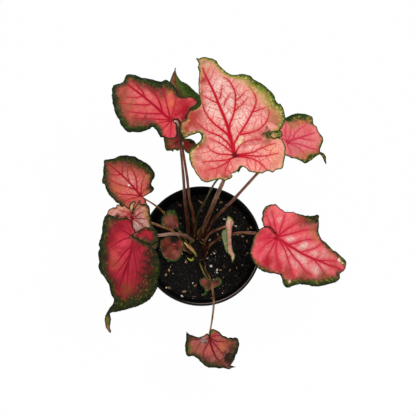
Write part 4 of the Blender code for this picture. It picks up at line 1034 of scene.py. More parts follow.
         (2, 11, 2, "fern", 0.5)],
        [], "crimson"),
    "front_hanging": Leaf(
        (7.5, -83, 118), -58, 28, 0, 42, 9, 0.36, 0.20, 0.20, 0.55, (0.7, 9),
        [(0, [(-16, -15), (-11, -13.5), (-9.5, -11), (-6, -9), (-4.5, -5.5), (-4, 0), (0, 0),
          (-4.5, 2.5), (-5.5, 4.5), (-2, 8.5), (5.5, 10.5), (11, 14), (13.5, 17), (15, 19.5),
          (18.5, 20.5), (27, 15.5), (30.5, 11.5), (34.5, 8), (37, 5), (38, 3), (42.5, 6.5), (41, 3),
          (41, 0), (37.5, -3), (29.5, -11), (25.5, -15.5), (20.5, -17), (15, -18.5), (11, -19),
          (7.5, -21), (5.5, -24), (3.5, -25.5), (-1, -24), (-6.5, -21.5), (-10, -18.5)])],
        [[(0.5, -0.5), (6.5, -2.5), (19, -4.5), (26, -4), (36.5, -1.5)],
         [(1, -1), (5, -5.5), (7.5, -10), (11.5, -13.5), (18, -14.5)],
         [(0.5, -1.5), (-0.5, -8), (2, -13.5), (6, -18)], [(0.5, -1.5), (-3, -8.5), (-8, -15)],
         [(2, -0.5), (17.5, 1.5), (27, 2)], [(1.5, 0), (8, 4), (12, 10), (16, 15.5)],
         [(1, 0.5), (2, 5.5), (4.5, 9)]],
        [(-14, -15, 3.4), (-9, -11, 2), (-4, -5, 0.6), (-4, 1, 0.8), (-4, 7, 1.4), (2, 10, 1),
         (10, 13, 1.6), (16, 19, 4), (23, 18, 5), (32, 11, 4.5), (38, 4, 2.6), (40, 0, 1.6),
         (33, -8, 5), (25, -15, 5), (14, -19, 3.6), (-9, -19, 3.4)],
        [(2, -13, 5.5, "dusk", 0.5), (9, 3, 5, "coral", 0.5), (15, 6, 4, "orange", 0.6),
         (11, -7, 6, "coral", 0.45), (1, -19, 3.5, "rust", 0.6), (-1, -21, 3, "moss", 1),
         (29, 6, 6.5, "umber", 1.6), (22, 11, 4, "umber", 0.7), (32, 3, 4, "umber", 0.8),
         (29, -4, 4, "rust", 0.6), (27, -8, 5, "umber", 0.4), (-9, -15, 3.5, "umber", 0.8),
         (16, 10, 5, "rust", 0.6), (20, 11, 4, "umber", 0.5), (17, -13, 5, "umber", 0.6),
         (0, 4, 3.5, "crimson", 0.6), (-3, 4, 1.5, "leafgreen", 1.2), (-1, -6, 3, "ash", 1),
         (2, -6, 1.5, "umber", 0.7), (-4, -7, 1.5, "umber", 0.5)],
        [], "dusky"),
    "inner_left_back": Leaf(
        (-23, 13.5, 120), 106, 4, 0, 17, 14, 0.30, 0.12, 0.25, 0.45, (0.3, 7),
        [(0, [(16, 2.5), (16, -0.5), (14, -4), (-2.5, -3), (-4.5, -1), (-1.5, 0), (-3.5, 3), (-1.5, 6),
          (4, 11.5), (11, 9.5), (13, 6.5), (15, 4.5)])],
        [[(0, -0.5), (13.5, -1)], [(1, 0), (8.5, 6)], [(1, -1), (5, -3), (9.5, -3.5)],
         [(0, 0), (0.5, 4.5), (3.5, 8.5)]],
        [(15.5, 3.5, 3.5), (15.5, -1.5, 4), (12.5, -4.5, 3.5), (5.5, -4.5, 0.8), (-2.5, 3.5, 0.5),
         (2, 10, 2), (8, 10.5, 2.6), (12, 7.5, 2)],
        [(7.5, 2.5, 5.5, "dusk", 1.1), (3.5, 1, 3.5, "dusk", 0.8), (0.5, -0.5, 2.5, "coral", 0.8),
         (6.5, 6.5, 2.5, "peach", 0.35), (14, -1, 3.5, "leafgreen", 0.9), (11, 2, 3, "blush", 0.3),
         (1, 4, 2.5, "umber", 0.5)],
        [], "dark"),
    "inner_left_front": Leaf(
        (-22, -4, 104), 150, 14, 0, 20, 11, 0.30, 0.25, 0.25, 0.45, (0.3, 7),
        [(0, [(19.5, 0), (13.5, -6), (3.5, -8.5), (-0.5, -9), (-3.5, -7.5), (-5.5, -4.5), (-6, -0.5),
          (-7, 3.5), (-7, 7.5), (-5, 11.5), (4.5, 13.5), (15, 7)])],
        [[(0, -1.5), (5.5, 0), (16.5, 0.5)], [(0, -1.5), (3, 3.5), (4.5, 8.5), (4.5, 11.5)],
         [(-0.5, -1.5), (-2.5, 9)], [(0, -2), (-2.5, -3.5), (-4.5, -4)], [(0.5, -2), (6, -6.5)]],
        [(-6.5, 8.5, 1.8), (-6.5, 0.5, 1.2), (-4.5, -6, 1.8), (1, -8, 1), (9.5, -7, 0.8)],
        [(5, -1.5, 2, "coral", 0.9), (10.5, -1, 2, "brick", 0.8), (-0.5, 4, 3, "dusk", 0.9),
         (-4, 6, 2.5, "dusk", 0.8), (-1, -6, 2.5, "brick", 0.7), (7, -5.5, 4, "pine", 1.2),
         (10.5, 6, 5, "umber", 0.8), (14.5, 0.5, 3.5, "rust", 0.6), (1, 9, 3, "umber", 0.5),
         (4, -5.5, 3, "umber", 0.8), (-0.5, 0, 2, "umber", 0.9), (5, 3.5, 3, "rust", 0.7)],
        [], "dark"),
    "unfurling": Leaf(
        (21.5, 11.5, 130), -84, 6, 0, 34, 14, 0.10, 0.10, 0.20, 0.45, (0.3, 6),
        [(0, [(-9.5, 3.5), (-4.5, 7), (-1.5, 7), (1.5, 5.5), (12, 3.5), (21.5, 4), (25.5, 5.5),
          (31.5, 2.5), (25.5, 1.5), (22.5, -0.5), (5.5, 0), (1, -0.5), (-8, 2)]),
         (-0.8, [(2, -1), (4, -4), (7.5, -4.5), (15, -3.5), (23, -1), (17.5, 0.5), (10, 0.5),
          (4, 0.5)])],
        [[(0, 0), (4, 1), (9, 1)], [(-4.5, 5.5), (1, 4.5), (6.5, 2.5), (20.5, 1.5), (26.5, 2.5)]],
        [(-9.5, 3.5, 1.6), (-4.5, 7, 1.4), (0, 6.5, 0.4), (20, 3.5, 0.5), (31, 2.5, 2.2),
         (27.5, 1.5, 0.6), (1, 0, 0.3)],
        [(3.5, -3, 3.5, "fern", 1.3), (8, -3, 3.5, "fern", 1.3), (12, -2.5, 3, "fern", 1.3),
         (16.5, -2, 2.5, "fern", 1.3), (20.5, -1.5, 2, "fern", 1.1), (10, 1.5, 1, "wine", 0.8),
         (15, 1, 1, "wine", 0.8), (-8, 6, 2, "moss", 0.7), (28.5, 4, 2, "straw", 0.5),
         (3, 3.5, 3.5, "blush", 0.4), (-6.5, 3.5, 3.5, "shell", 0.4), (20.5, 3.5, 2.5, "tan", 0.4),
         (14.5, 3.5, 2, "brick", 0.6)],
        [], "blush"),
    "inner_front": Leaf(
        (8, -33.5, 95), -122, 12, 0, 17, 11, 0.30, 0.20, 0.20, 0.45, (0.3, 6),
        [(0, [(5, -9), (3, -9.5), (-1, -6.5), (-0.5, -0.5), (-1.5, 1), (-4, 1.5), (-7, 3), (-8, 5.5),
          (-7, 8.5), (-4.5, 9.5), (-1.5, 9), (4, 5), (7, 3.5), (12, 2.5), (15.5, 0.5), (10.5, 0),
          (8, -2), (6.5, -7.5)])],
        [[(0.5, 0.5), (4.5, 1.5), (8.5, 1.5)], [(1, 0), (1.5, -3.5), (3, -7)], [(0.5, 1), (-5.5, 6)]],
        [(-1, 0.5, 0.4), (-6.5, 3, 1.4), (-6.5, 8.5, 2), (6.5, 4, 1), (11.5, 2, 3), (8, -4, 1.6)],
        [(1, -5, 2.5, "dusk", 0.8), (5, -3.5, 2.5, "rust", 0.5), (2.5, 1, 3, "umber", 0.9),
         (-3.5, 5, 3.5, "umber", 0.9), (1, 5, 2.5, "rust", 0.6), (9, 1, 3, "moss", 0.9),
         (13, 0.5, 2, "straw", 0.8)],
        [], "dark"),
}

# %% Blade geometry
def distance_to_path(places, path):
    """Distance from each place to a polyline, and how far along the nearest spot is."""
    start, step = path[:-1], np.diff(path, axis=0)
    size = (step ** 2).sum(1)
    away, spot = [], []
    for part in np.array_split(places, 1 + len(places) * len(step) // 400000):
        gap = part[:, None, :] - start[None]
        share = np.clip((gap * step).sum(2) / size, 0, 1)
        apart = np.linalg.norm(gap - share[..., None] * step, axis=2)
        near = apart.argmin(1)
        rows = np.arange(len(part))
        away.append(apart[rows, near])
        spot.append((near + share[rows, near]) / len(step))
    return np.concatenate(away), np.concatenate(spot)


def inside(places, edge):
    """True where a place lies inside the closed outline, by counting crossings."""
    after = np.roll(edge, -1, axis=0)
    x, y = places[:, :1], places[:, 1:]
    spans = (edge[:, 1] > y) != (after[:, 1] > y)
    rise = np.where(after[:, 1] == edge[:, 1], 1e-9, after[:, 1] - edge[:, 1])
    cross = edge[:, 0] + (y - edge[:, 1]) / rise * (after[:, 0] - edge[:, 0])
    return (spans & (x < cross)).sum(1) % 2 == 1


def fill_outline(edge, spacing):
    """Even triangles inside an outline: a lattice of points, joined by Delaunay's rule."""
    low, high = edge.min(0), edge.max(0)
    rows = np.arange(low[1], high[1], spacing * 0.866)
    columns = np.arange(low[0], high[0], spacing)
    x, y = np.meshgrid(columns, rows)
    x = x + np.where(np.arange(len(rows)) % 2, spacing / 2, 0)[:, None]
    lattice = np.stack([x.ravel(), y.ravel()], axis=1)
    lattice = lattice[inside(lattice, edge)]
    away, _ = distance_to_path(lattice, np.vstack([edge, edge[:1]]))
    lattice = lattice[away > 0.5 * spacing]
    start = np.arange(len(edge))
    rim = np.stack([start, np.roll(start, -1)], axis=1)
    places, _, faces = delaunay_2d_cdt(np.vstack([edge, lattice]).tolist(), rim.tolist(),
                                       [], 1, 1e-5)[:3]
    places, faces = np.array(places), np.array(faces)
    a, b, c = places[faces[:, 0]], places[faces[:, 1]], places[faces[:, 2]]
    turn = (b[:, 0] - a[:, 0]) * (c[:, 1] - a[:, 1]) - (b[:, 1] - a[:, 1]) * (c[:, 0] - a[:, 0])
    faces[turn < 0] = faces[turn < 0][:, ::-1]
    return places, faces


def ragged_outline(outline, spacing, seed):
    """Smooth closed curve through the outline, with small irregular nicks."""
    closed = np.array(outline + outline[:1], dtype=float)
    length = np.linalg.norm(np.diff(closed, axis=0), axis=1).sum()
    edge = spline_through(closed, int(length / (0.8 * spacing)))[:-1]
    along = np.roll(edge, -1, axis=0) - np.roll(edge, 1, axis=0)
    outward = np.stack([along[:, 1], -along[:, 0]], axis=1)
    outward /= np.linalg.norm(outward, axis=1)[:, None]
    nick = ripples(edge, 5.0, seed) * 0.16 + ripples(edge, 2.0, seed + 1) * 0.08
    return edge + outward * nick[:, None], outward


def main_veins(leaf):
    """Routes of the main veins; where none are given, a midrib and a fan of pairs."""
    if leaf.veins:
        return [spline_through(route, 16) for route in leaf.veins]
    edge = np.array(leaf.sheets[0][1], dtype=float)
    turn = np.degrees(np.arctan2(edge[:, 1], edge[:, 0]))
    tip = edge[np.abs(turn).argmin()] * 0.95
    routes = [[(0, 0), tip * 0.5, tip]]
    for angle, root in ((30, 0.3), (60, 0.1), (110, 0.0)):
        for side in (-1, 1):
            end = edge[np.abs((turn - side * angle + 180) % 360 - 180).argmin()] * 0.85
            foot = tip * root
            routes.append([foot, (foot + end) / 2 + tip * 0.03, end])
    return [spline_through(route, 12) for route in routes]


def side_veins(mains, leaf, seed):
    """Thin curved branches on both sides of each main vein, half way to the next one."""
    rng = np.random.default_rng(seed)
    branches = []
    for k, route in enumerate(mains):
        others = [other for j, other in enumerate(mains) if j != k]
        steps = np.diff(route, axis=0)
        length = np.linalg.norm(steps, axis=1).sum()
        count = max(int(length / (2.0 + leaf.length / 60)), 3)
        for i in range(1, count):
            spot = (0.5 + i + rng.uniform(-0.4, 0.4)) / (count + 1) * len(steps)
            j = min(int(spot), len(steps) - 1)
            foot = route[j] + (spot - j) * steps[j]
            ahead = steps[j] / np.linalg.norm(steps[j])
            side = np.array([-ahead[1], ahead[0]]) * (1 if i % 2 else -1)
            size = 0.26 * leaf.length * (1 - 0.35 * i / count) * rng.uniform(0.75, 1.2)
            reach = np.linspace(0, 1, 9)[:, None]
            branch = foot + size * (rng.uniform(0.65, 0.95) * side * reach ** 0.85 + ahead * (
                rng.uniform(0.3, 0.6) * reach + 0.4 * reach ** 2))
            apart = np.min([distance_to_path(branch, other)[0] for other in others], 0)
            own = distance_to_path(branch, route)[0]
            stops = np.flatnonzero((apart < 0.7 * own + 0.4) & (reach[:, 0] > 0.2))
            last = stops[0] + 1 if len(stops) else len(branch)
            branches.append(branch[:last])
    return branches


def shape_blade(leaf, flat):
    """Height and narrowing of the flat sheet: fold at the midrib, cup, droop."""
    x, y = flat[:, 0], flat[:, 1]
    away = np.sqrt(y * y + 1) - 1
    fold = math.radians(leaf.fold)
    sink = (leaf.cup * y * y + leaf.droop * np.maximum(x, 0) ** 2
            + leaf.lobe_droop * np.maximum(-x, 0) ** 2) / leaf.length
    return np.stack([x, y * math.cos(fold), away * math.sin(fold) - sink], axis=1)


def blade_rotation(leaf):
    """Roll about the midrib, then pitch, then turn to the heading."""
    return Euler([math.radians(v) for v in (leaf.roll, leaf.pitch, leaf.heading)], "XYZ")


def curl_margin(leaf, flat, inset, spot, edge, outward):
    """Roll stretches of the margin up: past a line at the curl's depth, a point at a
    goes to R sin(a/R) outwards and R (1 - cos(a/R)) up, with R the depth over the turn.
    """
    lift = np.zeros(len(flat))
    moved = flat.copy()
    nearest = (spot * len(edge)).astype(int) % len(edge)
    for x, y, span, depth, most in leaf.curls:
        apart = np.linalg.norm(edge[nearest] - (x, y), axis=1)
        bend = np.radians(most) * np.clip(1 - (apart / span) ** 2, 0, 1)
        beyond = np.clip(depth - inset, 0, None)
        on = (bend > 0.02) & (beyond > 0)
        radius = np.where(on, depth / np.where(on, bend, 1), 1)
        arc = beyond / radius
        inward = np.where(on, beyond - radius * np.sin(arc), 0)
        moved -= inward[:, None] * outward[nearest]
        lift += np.where(on, radius * (1 - np.cos(arc)), 0)
    return moved, lift


def ground_colour(leaf, flat, glow, seed):
    """Colour of each point before veins and margin, and how dark its patches make it.

    Light patches lie under the glow beside the veins, dark ones over it.
    """
    paint = PAINTS[leaf.paint]
    ground = np.tile(linear(paint.ground)[:3], (len(flat), 1))
    uneven = 1 + 0.22 * ripples(flat, 7.0, seed + 3) + 0.12 * ripples(flat, 2.5, seed + 4)
    shade = np.zeros(len(flat))

    def tint(share, colour):
        nonlocal ground
        share = np.clip(share, 0, 1)[:, None]
        ground = ground * (1 - share) + share * np.array(linear(colour)[:3])

    for dark in (False, True):
        for x, y, radius, tone, strength in leaf.patches:
            if (tone in LIGHT_TONES) == dark:
                continue
            away = np.linalg.norm(flat - (x, y), axis=1) / radius * uneven
            share = strength * np.exp(-away ** 3)
            tint(share, TONES[tone])
            shade = np.maximum(shade, share * dark)
        if not dark:
            tint(paint.glow * glow, paint.halo)
    return ground, shade


def vein_numbers(leaf, flat, seed):
    """Distance to the veins and to their branches in half widths, the distance to the
    nearest vein in mm, and the glow beside the veins, exp(-(distance / reach) ^ 2).
    """
    mains = main_veins(leaf)
    thick = 0.35 + leaf.length / 92
    spread = PAINTS[leaf.paint].spread
    vein, branch = np.full(len(flat), 9.0), np.full(len(flat), 9.0)
    near, glow = np.full(len(flat), 1e3), np.zeros(len(flat))
    for k, route in enumerate(mains):
        away, spot = distance_to_path(flat, route)
        size = np.linalg.norm(np.diff(route, axis=0), axis=1).sum() / leaf.length
        width = thick * (1.2 if k == 0 else min(0.35 + 0.6 * size, 0.75)) * (1 - 0.6 * spot)
        vein = np.minimum(vein, away / width)
        near = np.minimum(near, away)
        glow = np.maximum(glow, np.exp(-(away / (spread * (1.2 - 0.6 * spot))) ** 2))
    for route in side_veins(mains, leaf, seed):
        away, spot = distance_to_path(flat, route)
        branch = np.minimum(branch, away / (0.6 - 0.35 * spot))
    return vein, branch, near, glow


def margin_width(leaf, flat):
    """Width of the green margin at each point: the mean of the marks by 1 / distance ^ 3."""
    marks = np.array(leaf.rim)
    nearness = 1 / (np.linalg.norm(flat[:, None] - marks[:, :2], axis=2) ** 3 + 1)
    return (nearness * marks[:, 2]).sum(1) / nearness.sum(1)


def blade_sheet(leaf, lift_mm, outline, seed):
    """One sheet of a blade: points in metres, faces, and the numbers its paint reads."""
    edge, outward = ragged_outline(outline, leaf.spacing, seed)
    flat, faces = fill_outline(edge, leaf.spacing)
    from_stalk = np.linalg.norm(flat, axis=1)
    vein, branch, near, glow = vein_numbers(leaf, flat, seed)
    inset, spot = distance_to_path(flat, np.vstack([edge, edge[:1]]))
    height, size = leaf.ruffle
    ruffle = height * np.exp(-(inset / 5) ** 2) * ripples(flat, size, seed + 5)
    pucker = 0.5 * (1 - np.exp(-(near / 3) ** 2)) * min(1, leaf.length / 50)
    sway = 0.012 * leaf.length * ripples(flat, 0.45 * leaf.length, seed + 2)
    sway *= 1 - np.exp(-(from_stalk / 12) ** 2)
    moved, lift = curl_margin(leaf, flat, inset, spot, edge, outward)
    local = shape_blade(leaf, moved)
    local[:, 2] += ruffle + pucker + sway + lift
    local[:, 2] += lift_mm * (1 - np.exp(-(from_stalk / 4) ** 2))
    world = local @ np.array(blade_rotation(leaf).to_matrix()).T + np.array(leaf.junction)
    core = from_stalk / (0.035 * leaf.length + 0.8)
    ground, shade = ground_colour(leaf, flat, glow, seed)
    numbers = {"flat": np.c_[flat, np.full(len(flat), seed * 7.0)] * MM, "vein": vein,
               "branch": branch, "inset": inset, "rim": margin_width(leaf, flat),
               "core": np.exp(-core ** 2), "shade": shade, "ground": ground}
    return world * MM, faces, numbers


# %% Leaf material
def living_leaf(name, paint, underside=False):
    """Thin satin leaf skin: painted ground, a net, glowing veins, a flecked green margin."""
    mat, tree, shader, _ = new_material(name)
    flat = attribute(tree, "flat", "Vector")
    fine = noise_at(tree, flat, 1300.0, 4.0, 0.65)
    mid = noise_at(tree, flat, 420.0, 3.0, 0.6)
    broad = noise_at(tree, flat, 130.0, 2.0)
    cells = add_node(tree, "ShaderNodeTexVoronoi", {"Vector": flat, "Scale": 800.0})
    lot = add_node(tree, "ShaderNodeSeparateColor", {0: cells.outputs["Color"]}).outputs[0]

    # ground: a net of fine veins, mottling either way, and the branches of the veins
    body = attribute(tree, "ground", "Color")
    stray = add_node(tree, "ShaderNodeTexNoise", {"Vector": flat, "Scale": 520.0})
    stray = work_vector(tree, "SUBTRACT", stray.outputs["Color"], (0.5, 0.5, 0.5))
    bent = add_node(tree, "ShaderNodeVectorMath",
                    {0: stray, 1: (0.003, 0.003, 0.0), 2: flat},
                    operation="MULTIPLY_ADD").outputs[0]
    mesh = add_node(tree, "ShaderNodeTexVoronoi", {"Vector": bent, "Scale": 620.0},
                    feature="DISTANCE_TO_EDGE")
    net = smooth_step(tree, mesh.outputs["Distance"], 0.22, 0.02)
    net = work(tree, "MULTIPLY", net, smooth_step(tree, mid, 0.25, 0.6))
    shade = attribute(tree, "shade")
    clear = work(tree, "SUBTRACT", 1.0, shade)
    net = work(tree, "MULTIPLY", net, clear)
    body = blend(tree, work(tree, "MULTIPLY", net, 0.3 * paint.net), body, paint.halo)
    grain = noise_at(tree, flat, 800.0, 2.0, 0.6)
    dark = work(tree, "MULTIPLY", smooth_step(tree, grain, 0.46, 0.66), clear)
    body = blend(tree, work(tree, "MULTIPLY", dark, 0.75 * paint.net), body, paint.halo)
    light = work(tree, "MULTIPLY", smooth_step(tree, grain, 0.46, 0.3), clear)
    body = blend(tree, work(tree, "MULTIPLY", light, 0.35 * paint.net), body, paint.ground)
    branch = work(tree, "MULTIPLY", smooth_step(tree, attribute(tree, "branch"), 1.6, 0.3),
                  clear)
    body = blend(tree, work(tree, "MULTIPLY", branch, 0.3 + 0.4 * paint.net), body,
                 blend(tree, 0.5, paint.halo, paint.vein))

    # margin: its reach in its own widths, ragged; a turning tone, the green, its flecks
    rim = attribute(tree, "rim")
    inset = attribute(tree, "inset")
    width = work(tree, "MULTIPLY_ADD", rim, 0.45, 0.2)
    beyond = work(tree, "ADD", work(tree, "SUBTRACT", inset, rim), 0.5)
    reach = work(tree, "ADD", work(tree, "DIVIDE", beyond, width), 0.2)
    reach = sway_by(tree, reach, broad, 2.0)
    reach = sway_by(tree, reach, mid, 2.4)
    reach = sway_by(tree, reach, fine, 1.6)
    turning = smooth_step(tree, reach, 2.6, -0.3)
    turning = work(tree, "MULTIPLY", turning, work(tree, "MULTIPLY_ADD", shade, -0.6, 0.95))
    body = blend(tree, turning, body, paint.edge)
    margin = smooth_step(tree, sway_by(tree, reach, lot, 0.6), 0.7, -0.8)
    outer = smooth_step(tree, sway_by(tree, work(tree, "DIVIDE", inset, width), mid, 2.2),
                        1.5, 0.1)
    depth = work(tree, "MAXIMUM", outer, smooth_step(tree, mid, 0.52, 0.66))
    depth = work(tree, "MAXIMUM", depth, shade)
    body = blend(tree, margin, body, blend(tree, depth, paint.rim, paint.rim_dark))
    band = work(tree, "MULTIPLY", smooth_step(tree, reach, -2.2, -0.6),
                smooth_step(tree, reach, 2.4, 0.6))
    flecks = work(tree, "MULTIPLY", smooth_step(tree, lot, 0.8, 0.92), band)
    body = blend(tree, work(tree, "MULTIPLY", flecks, 0.42), body, paint.fleck)

    # main veins, fading into the margin; the heart at the stalk; a thin dark line of painted shade
    # along the edge
    vein = smooth_step(tree, sway_by(tree, attribute(tree, "vein"), mid, 0.5), 1.35, 0.55)
    fade = smooth_step(tree, reach, -1.2, 1.6)
    fade = work(tree, "SUBTRACT", fade, work(tree, "MULTIPLY", shade, 0.7))
    vein = work(tree, "MULTIPLY", vein, work(tree, "MULTIPLY_ADD", fade, 0.95, 0.05))
    body = blend(tree, vein, body, paint.vein)
    core = smooth_step(tree, attribute(tree, "core"), 0.25, 0.9)
    body = blend(tree, work(tree, "MULTIPLY", core, vein), body, paint.core)
    # painted shade: a thin dark line all along the edge of the blade
    edge_shade = smooth_step(tree, sway_by(tree, inset, mid, 0.8), 1.15, 0.3)
    body = blend(tree, work(tree, "MULTIPLY", edge_shade, 0.95), body, paint.rim_dark)
    if underside:
        body = blend(tree, 0.4, body, "8a8064")
    mottle = add_node(tree, "ShaderNodeHueSaturation",
                      {"Value": work(tree, "MULTIPLY_ADD", fine, 0.5, 0.76),
                       "Color": body})
    dress(shader, mottle.outputs[0], 0.5, 0.12, fine, 0.2, 0.12 * MM)
    return mat


# %% Blades
SKIN_THICKNESS = 0.45 * MM
painted = {key: (living_leaf("leaf_skin_" + key, paint),
                 living_leaf("leaf_underside_" + key, paint, True))
           for key, paint in PAINTS.items()}


def grow_blade(name, leaf):
    """One blade: its sheets joined in one mesh, thickened to a thin skin."""
    seed = 100 + 7 * list(LEAVES).index(name)
    sheets = [blade_sheet(leaf, lift, outline, seed) for lift, outline in leaf.sheets]
    starts = np.cumsum([0] + [len(points) for points, _, _ in sheets])
    points = np.vstack([points for points, _, _ in sheets])
    faces = np.vstack([faces + start for (_, faces, _), start in zip(sheets, starts)])
    numbers = {key: np.concatenate([sheet[2][key] for sheet in sheets])
               for key in sheets[0][2]}
    piece = make_piece("blade_" + name + "_grown", points, [faces],
                       list(painted[leaf.paint]), ["blade_" + name],
                       numbers)
    return thicken(piece, SKIN_THICKNESS, underside=1)


leaf_faces = {name: len(grow_blade(name, leaf).data.polygons)
              for name, leaf in LEAVES.items()}
print("blades:", leaf_faces)

# %% [markdown]
# ## The stalks
# Every blade has one stalk that rises from the tuber, widens where it clasps its
# neighbours, and runs on under the midrib at its top. A stalk is a tube along a curve:
# each ring sits square to the curve, with a radius that falls along the way.

# %% Stalk tables
# base: (x, y) of the foot in mm; via: points on the way; radii: at foot and top, in mm;
# tones: colour low down, high up, and of the dark and light streaks. The bent tip under
# the blade takes a painted highlight: the fifth tone where one is given, with a dark neck
# below it, else the light streak tone.
Stem = namedtuple("Stem", "base via radii tones slot")

STALK_TONES = {
    "brown": ("4e2e1a", "8a5c40", "301a0e", "b08468"),
    # rosy's fifth tone, ffc8bc, is the painted highlight on the bend under the blade
    "rosy": ("5e3420", "7a4a32", "2e120c", "a87058", "ffc8bc"),
    "rust": ("583018", "845034", "32190d", "b07a58"),
    "tan": ("80542a", "a87440", "543316", "cc9c66"),
    "pale_rose": ("86604a", "a67c68", "583c2c", "d0aa94"),
    "olive": ("55552a", "76743a", "343618", "9c9856"),
    "moss": ("3a3418", "5e5428", "262210", "857a40"),
    "bronze": ("3a2616", "96703e", "26180c", "b48c58"),
}
STEMS = {
    "top_large": Stem(
        (-2.5, 7.5), [(3, 16, 112), (12, 29, 165), (18, 36, 205), (22, 41.5, 230)],
        (2.2, 1.3), "brown", "stalk_brown"),
    "upper_left": Stem(
        (-11.5, 13.5), [(-13, 25, 112), (-14, 35, 140), (-14.5, 48, 172), (-16, 65, 197),
         (-16.5, 73, 205), (-17, 77.5, 210.5), (-17.5, 80, 215), (-19, 81.5, 219)],
        (1.9, 0.65), "rosy", "stalk_brown"),
    "upper_left_rear": Stem(
        (-6, 9.5), [(-7, 24, 116), (-10, 34, 137), (-11.5, 48, 162), (-13.5, 60, 178)],
        (1.5, 1.0), "rust", "stalk_pink"),
    "under_top": Stem(
        (-4, 14), [(-5, 20, 96), (-3, 26, 108), (5, 36, 135), (12, 45, 158), (21, 51, 177)],
        (1.0, 0.8), "moss", "stalk_green"),
    "upper_right": Stem(
        (2, 10.5), [(12, 21, 115), (25, 30, 143), (37, 39, 170), (47, 47, 190), (58, 56, 206)],
        (1.5, 1.1), "rust", "stalk_pink"),
    "right": Stem(
        (4, -3.5), [(8, 1, 95), (18, 5, 110), (27, 6, 122), (34, 6, 131), (47, 3, 148)],
        (1.5, 1.1), "rust", "stalk_pink"),
    "left_back": Stem(
        (-14.5, 5.5), [(-20, 12, 98), (-28, 20.5, 105), (-35, 27.5, 120), (-42, 30, 142)],
        (0.9, 0.7), "tan", "stalk_brown"),
    "left_crumpled": Stem(
        (-15.5, -2), [(-19, 5, 104), (-26, 8.5, 128), (-34, 10, 141), (-42, 11.5, 152)],
        (1.1, 0.8), "tan", "stalk_pink"),
    "left_front": Stem(
        (-8.5, 5.5), [(-14, 6.5, 110), (-22, 4, 138), (-29, 1, 155), (-39, -2, 168)],
        (1.8, 1.2), "pale_rose", "stalk_pink"),
    "front_hanging": Stem(
        (2.5, -14), [(4, -23, 97), (8, -32, 108), (10, -42, 117), (11, -54, 123),
         (10, -65, 123), (8.5, -74.5, 118)], (1.0, 0.8), "bronze", "stalk_brown"),
    "inner_left_back": Stem(
        (-12, 1), [(-15, 6, 98), (-19, 10.5, 109)], (1.0, 0.8), "olive", "stalk_green"),
    "inner_left_front": Stem(
        (-9.5, -6), [(-13, -5, 92), (-18, -4, 98)], (1.0, 0.8), "brown", "stalk_brown"),
    "unfurling": Stem(
        (1.5, -1.5), [(3.5, 4.5, 98), (8.5, 9, 110), (15, 10.5, 122)],
        (1.3, 0.9), "rust", "stalk_brown"),
    "inner_front": Stem(
        (-2.5, -13.5), [(0, -20, 89.5), (4, -28, 91)], (0.9, 0.7), "olive", "stalk_green"),
}


# %% Stalk material
def living_stalk(name, tones):
    """Smooth stalk skin: satin, darker at the foot, with fine lengthwise streaks and a pale top, which
    on a stalk is a painted highlight.
    """
    low_tone, high_tone, dark_tone, light_tone = tones[:4]
    mat, tree, shader, _ = new_material(name)
    skin = attribute(tree, "skin", "Vector")
    along = attribute(tree, "along")
    streaks = noise_at(tree, skin, 900.0, 4.0, 0.6)
    rise = sway_by(tree, along, noise_at(tree, skin, 260.0, 2.0), 0.7)
    body = blend(tree, smooth_step(tree, rise, 0.1, 0.6), low_tone, high_tone)
    body = blend(tree, smooth_step(tree, streaks, 0.52, 0.62), body, dark_tone)
    body = blend(tree, smooth_step(tree, streaks, 0.46, 0.36), body, light_tone)
    if len(tones) > 4:
        neck = work(tree, "MULTIPLY", smooth_step(tree, along, 0.74, 0.82), 0.85)
        body = blend(tree, neck, body, dark_tone)
    # painted highlight: the top of the length takes the last tone; on a stalk that is the bend under
    # its blade
    body = blend(tree, smooth_step(tree, along, 0.88, 0.92), body, tones[-1])
    dress(shader, body, 0.4, 0.25, streaks, 0.2, 0.1 * MM)
    return mat


STREAK_STRETCH = 0.1
stalk_skins = {key: living_stalk("stalk_skin_" + key, tones)
               for key, tones in STALK_TONES.items()}


# %% Tubes
def carried_sides(axis):
    """Two unit vectors square to the curve at each point, turning as little as may be."""
    ahead = np.gradient(axis, axis=0)
    ahead /= np.linalg.norm(ahead, axis=1)[:, None]
    chord = axis[-1] - axis[0]
    level = np.array([chord[1], -chord[0], 0.0])
    level = level / max(np.linalg.norm(level), 1e-9)
    first = level - (ahead @ level)[:, None] * ahead
    first /= np.linalg.norm(first, axis=1)[:, None]
    return first, np.cross(ahead, first)


def tube_mesh(axis, radius, columns):
    """Rings round a curve, with a pole at each end; all in mm. Also skin coordinates."""
    first, second = carried_sides(axis)
    angle = np.linspace(0, 2 * np.pi, columns, endpoint=False)
    radius = np.broadcast_to(radius, (columns, len(axis))).T
    rings = (axis[:, None] + radius[..., None]
             * (np.cos(angle)[:, None] * first[:, None]
                + np.sin(angle)[:, None] * second[:, None]))
    length = np.cumsum(np.r_[0, np.linalg.norm(np.diff(axis, axis=0), axis=1)])
    skin = np.stack(np.broadcast_arrays(radius * np.cos(angle), radius * np.sin(angle),
                                        length[:, None] * STREAK_STRETCH), axis=-1)
    along = np.broadcast_to((length / length[-1])[:, None], radius.shape)
    points = np.vstack([axis[:1], rings.reshape(-1, 3), axis[-1:]])
    skin = np.vstack([skin[0, :1] * 0, skin.reshape(-1, 3), skin[-1, :1]])
    numbers = {"skin": skin * MM, "along": np.r_[0, along.ravel(), 1]}
    return points, closed_faces(len(axis), columns), numbers


def crown_height(x, y):
    """Height in mm of the tuber's crown at a place, by the ellipse of its box."""
    middle, half = TUBER_MIDDLE / MM, TUBER_HALF / MM
    share = min(0.9, ((x - middle.x) / half.x) ** 2 + ((y - middle.y) / half.y) ** 2)
    return middle.z + half.z * math.sqrt(1 - share)


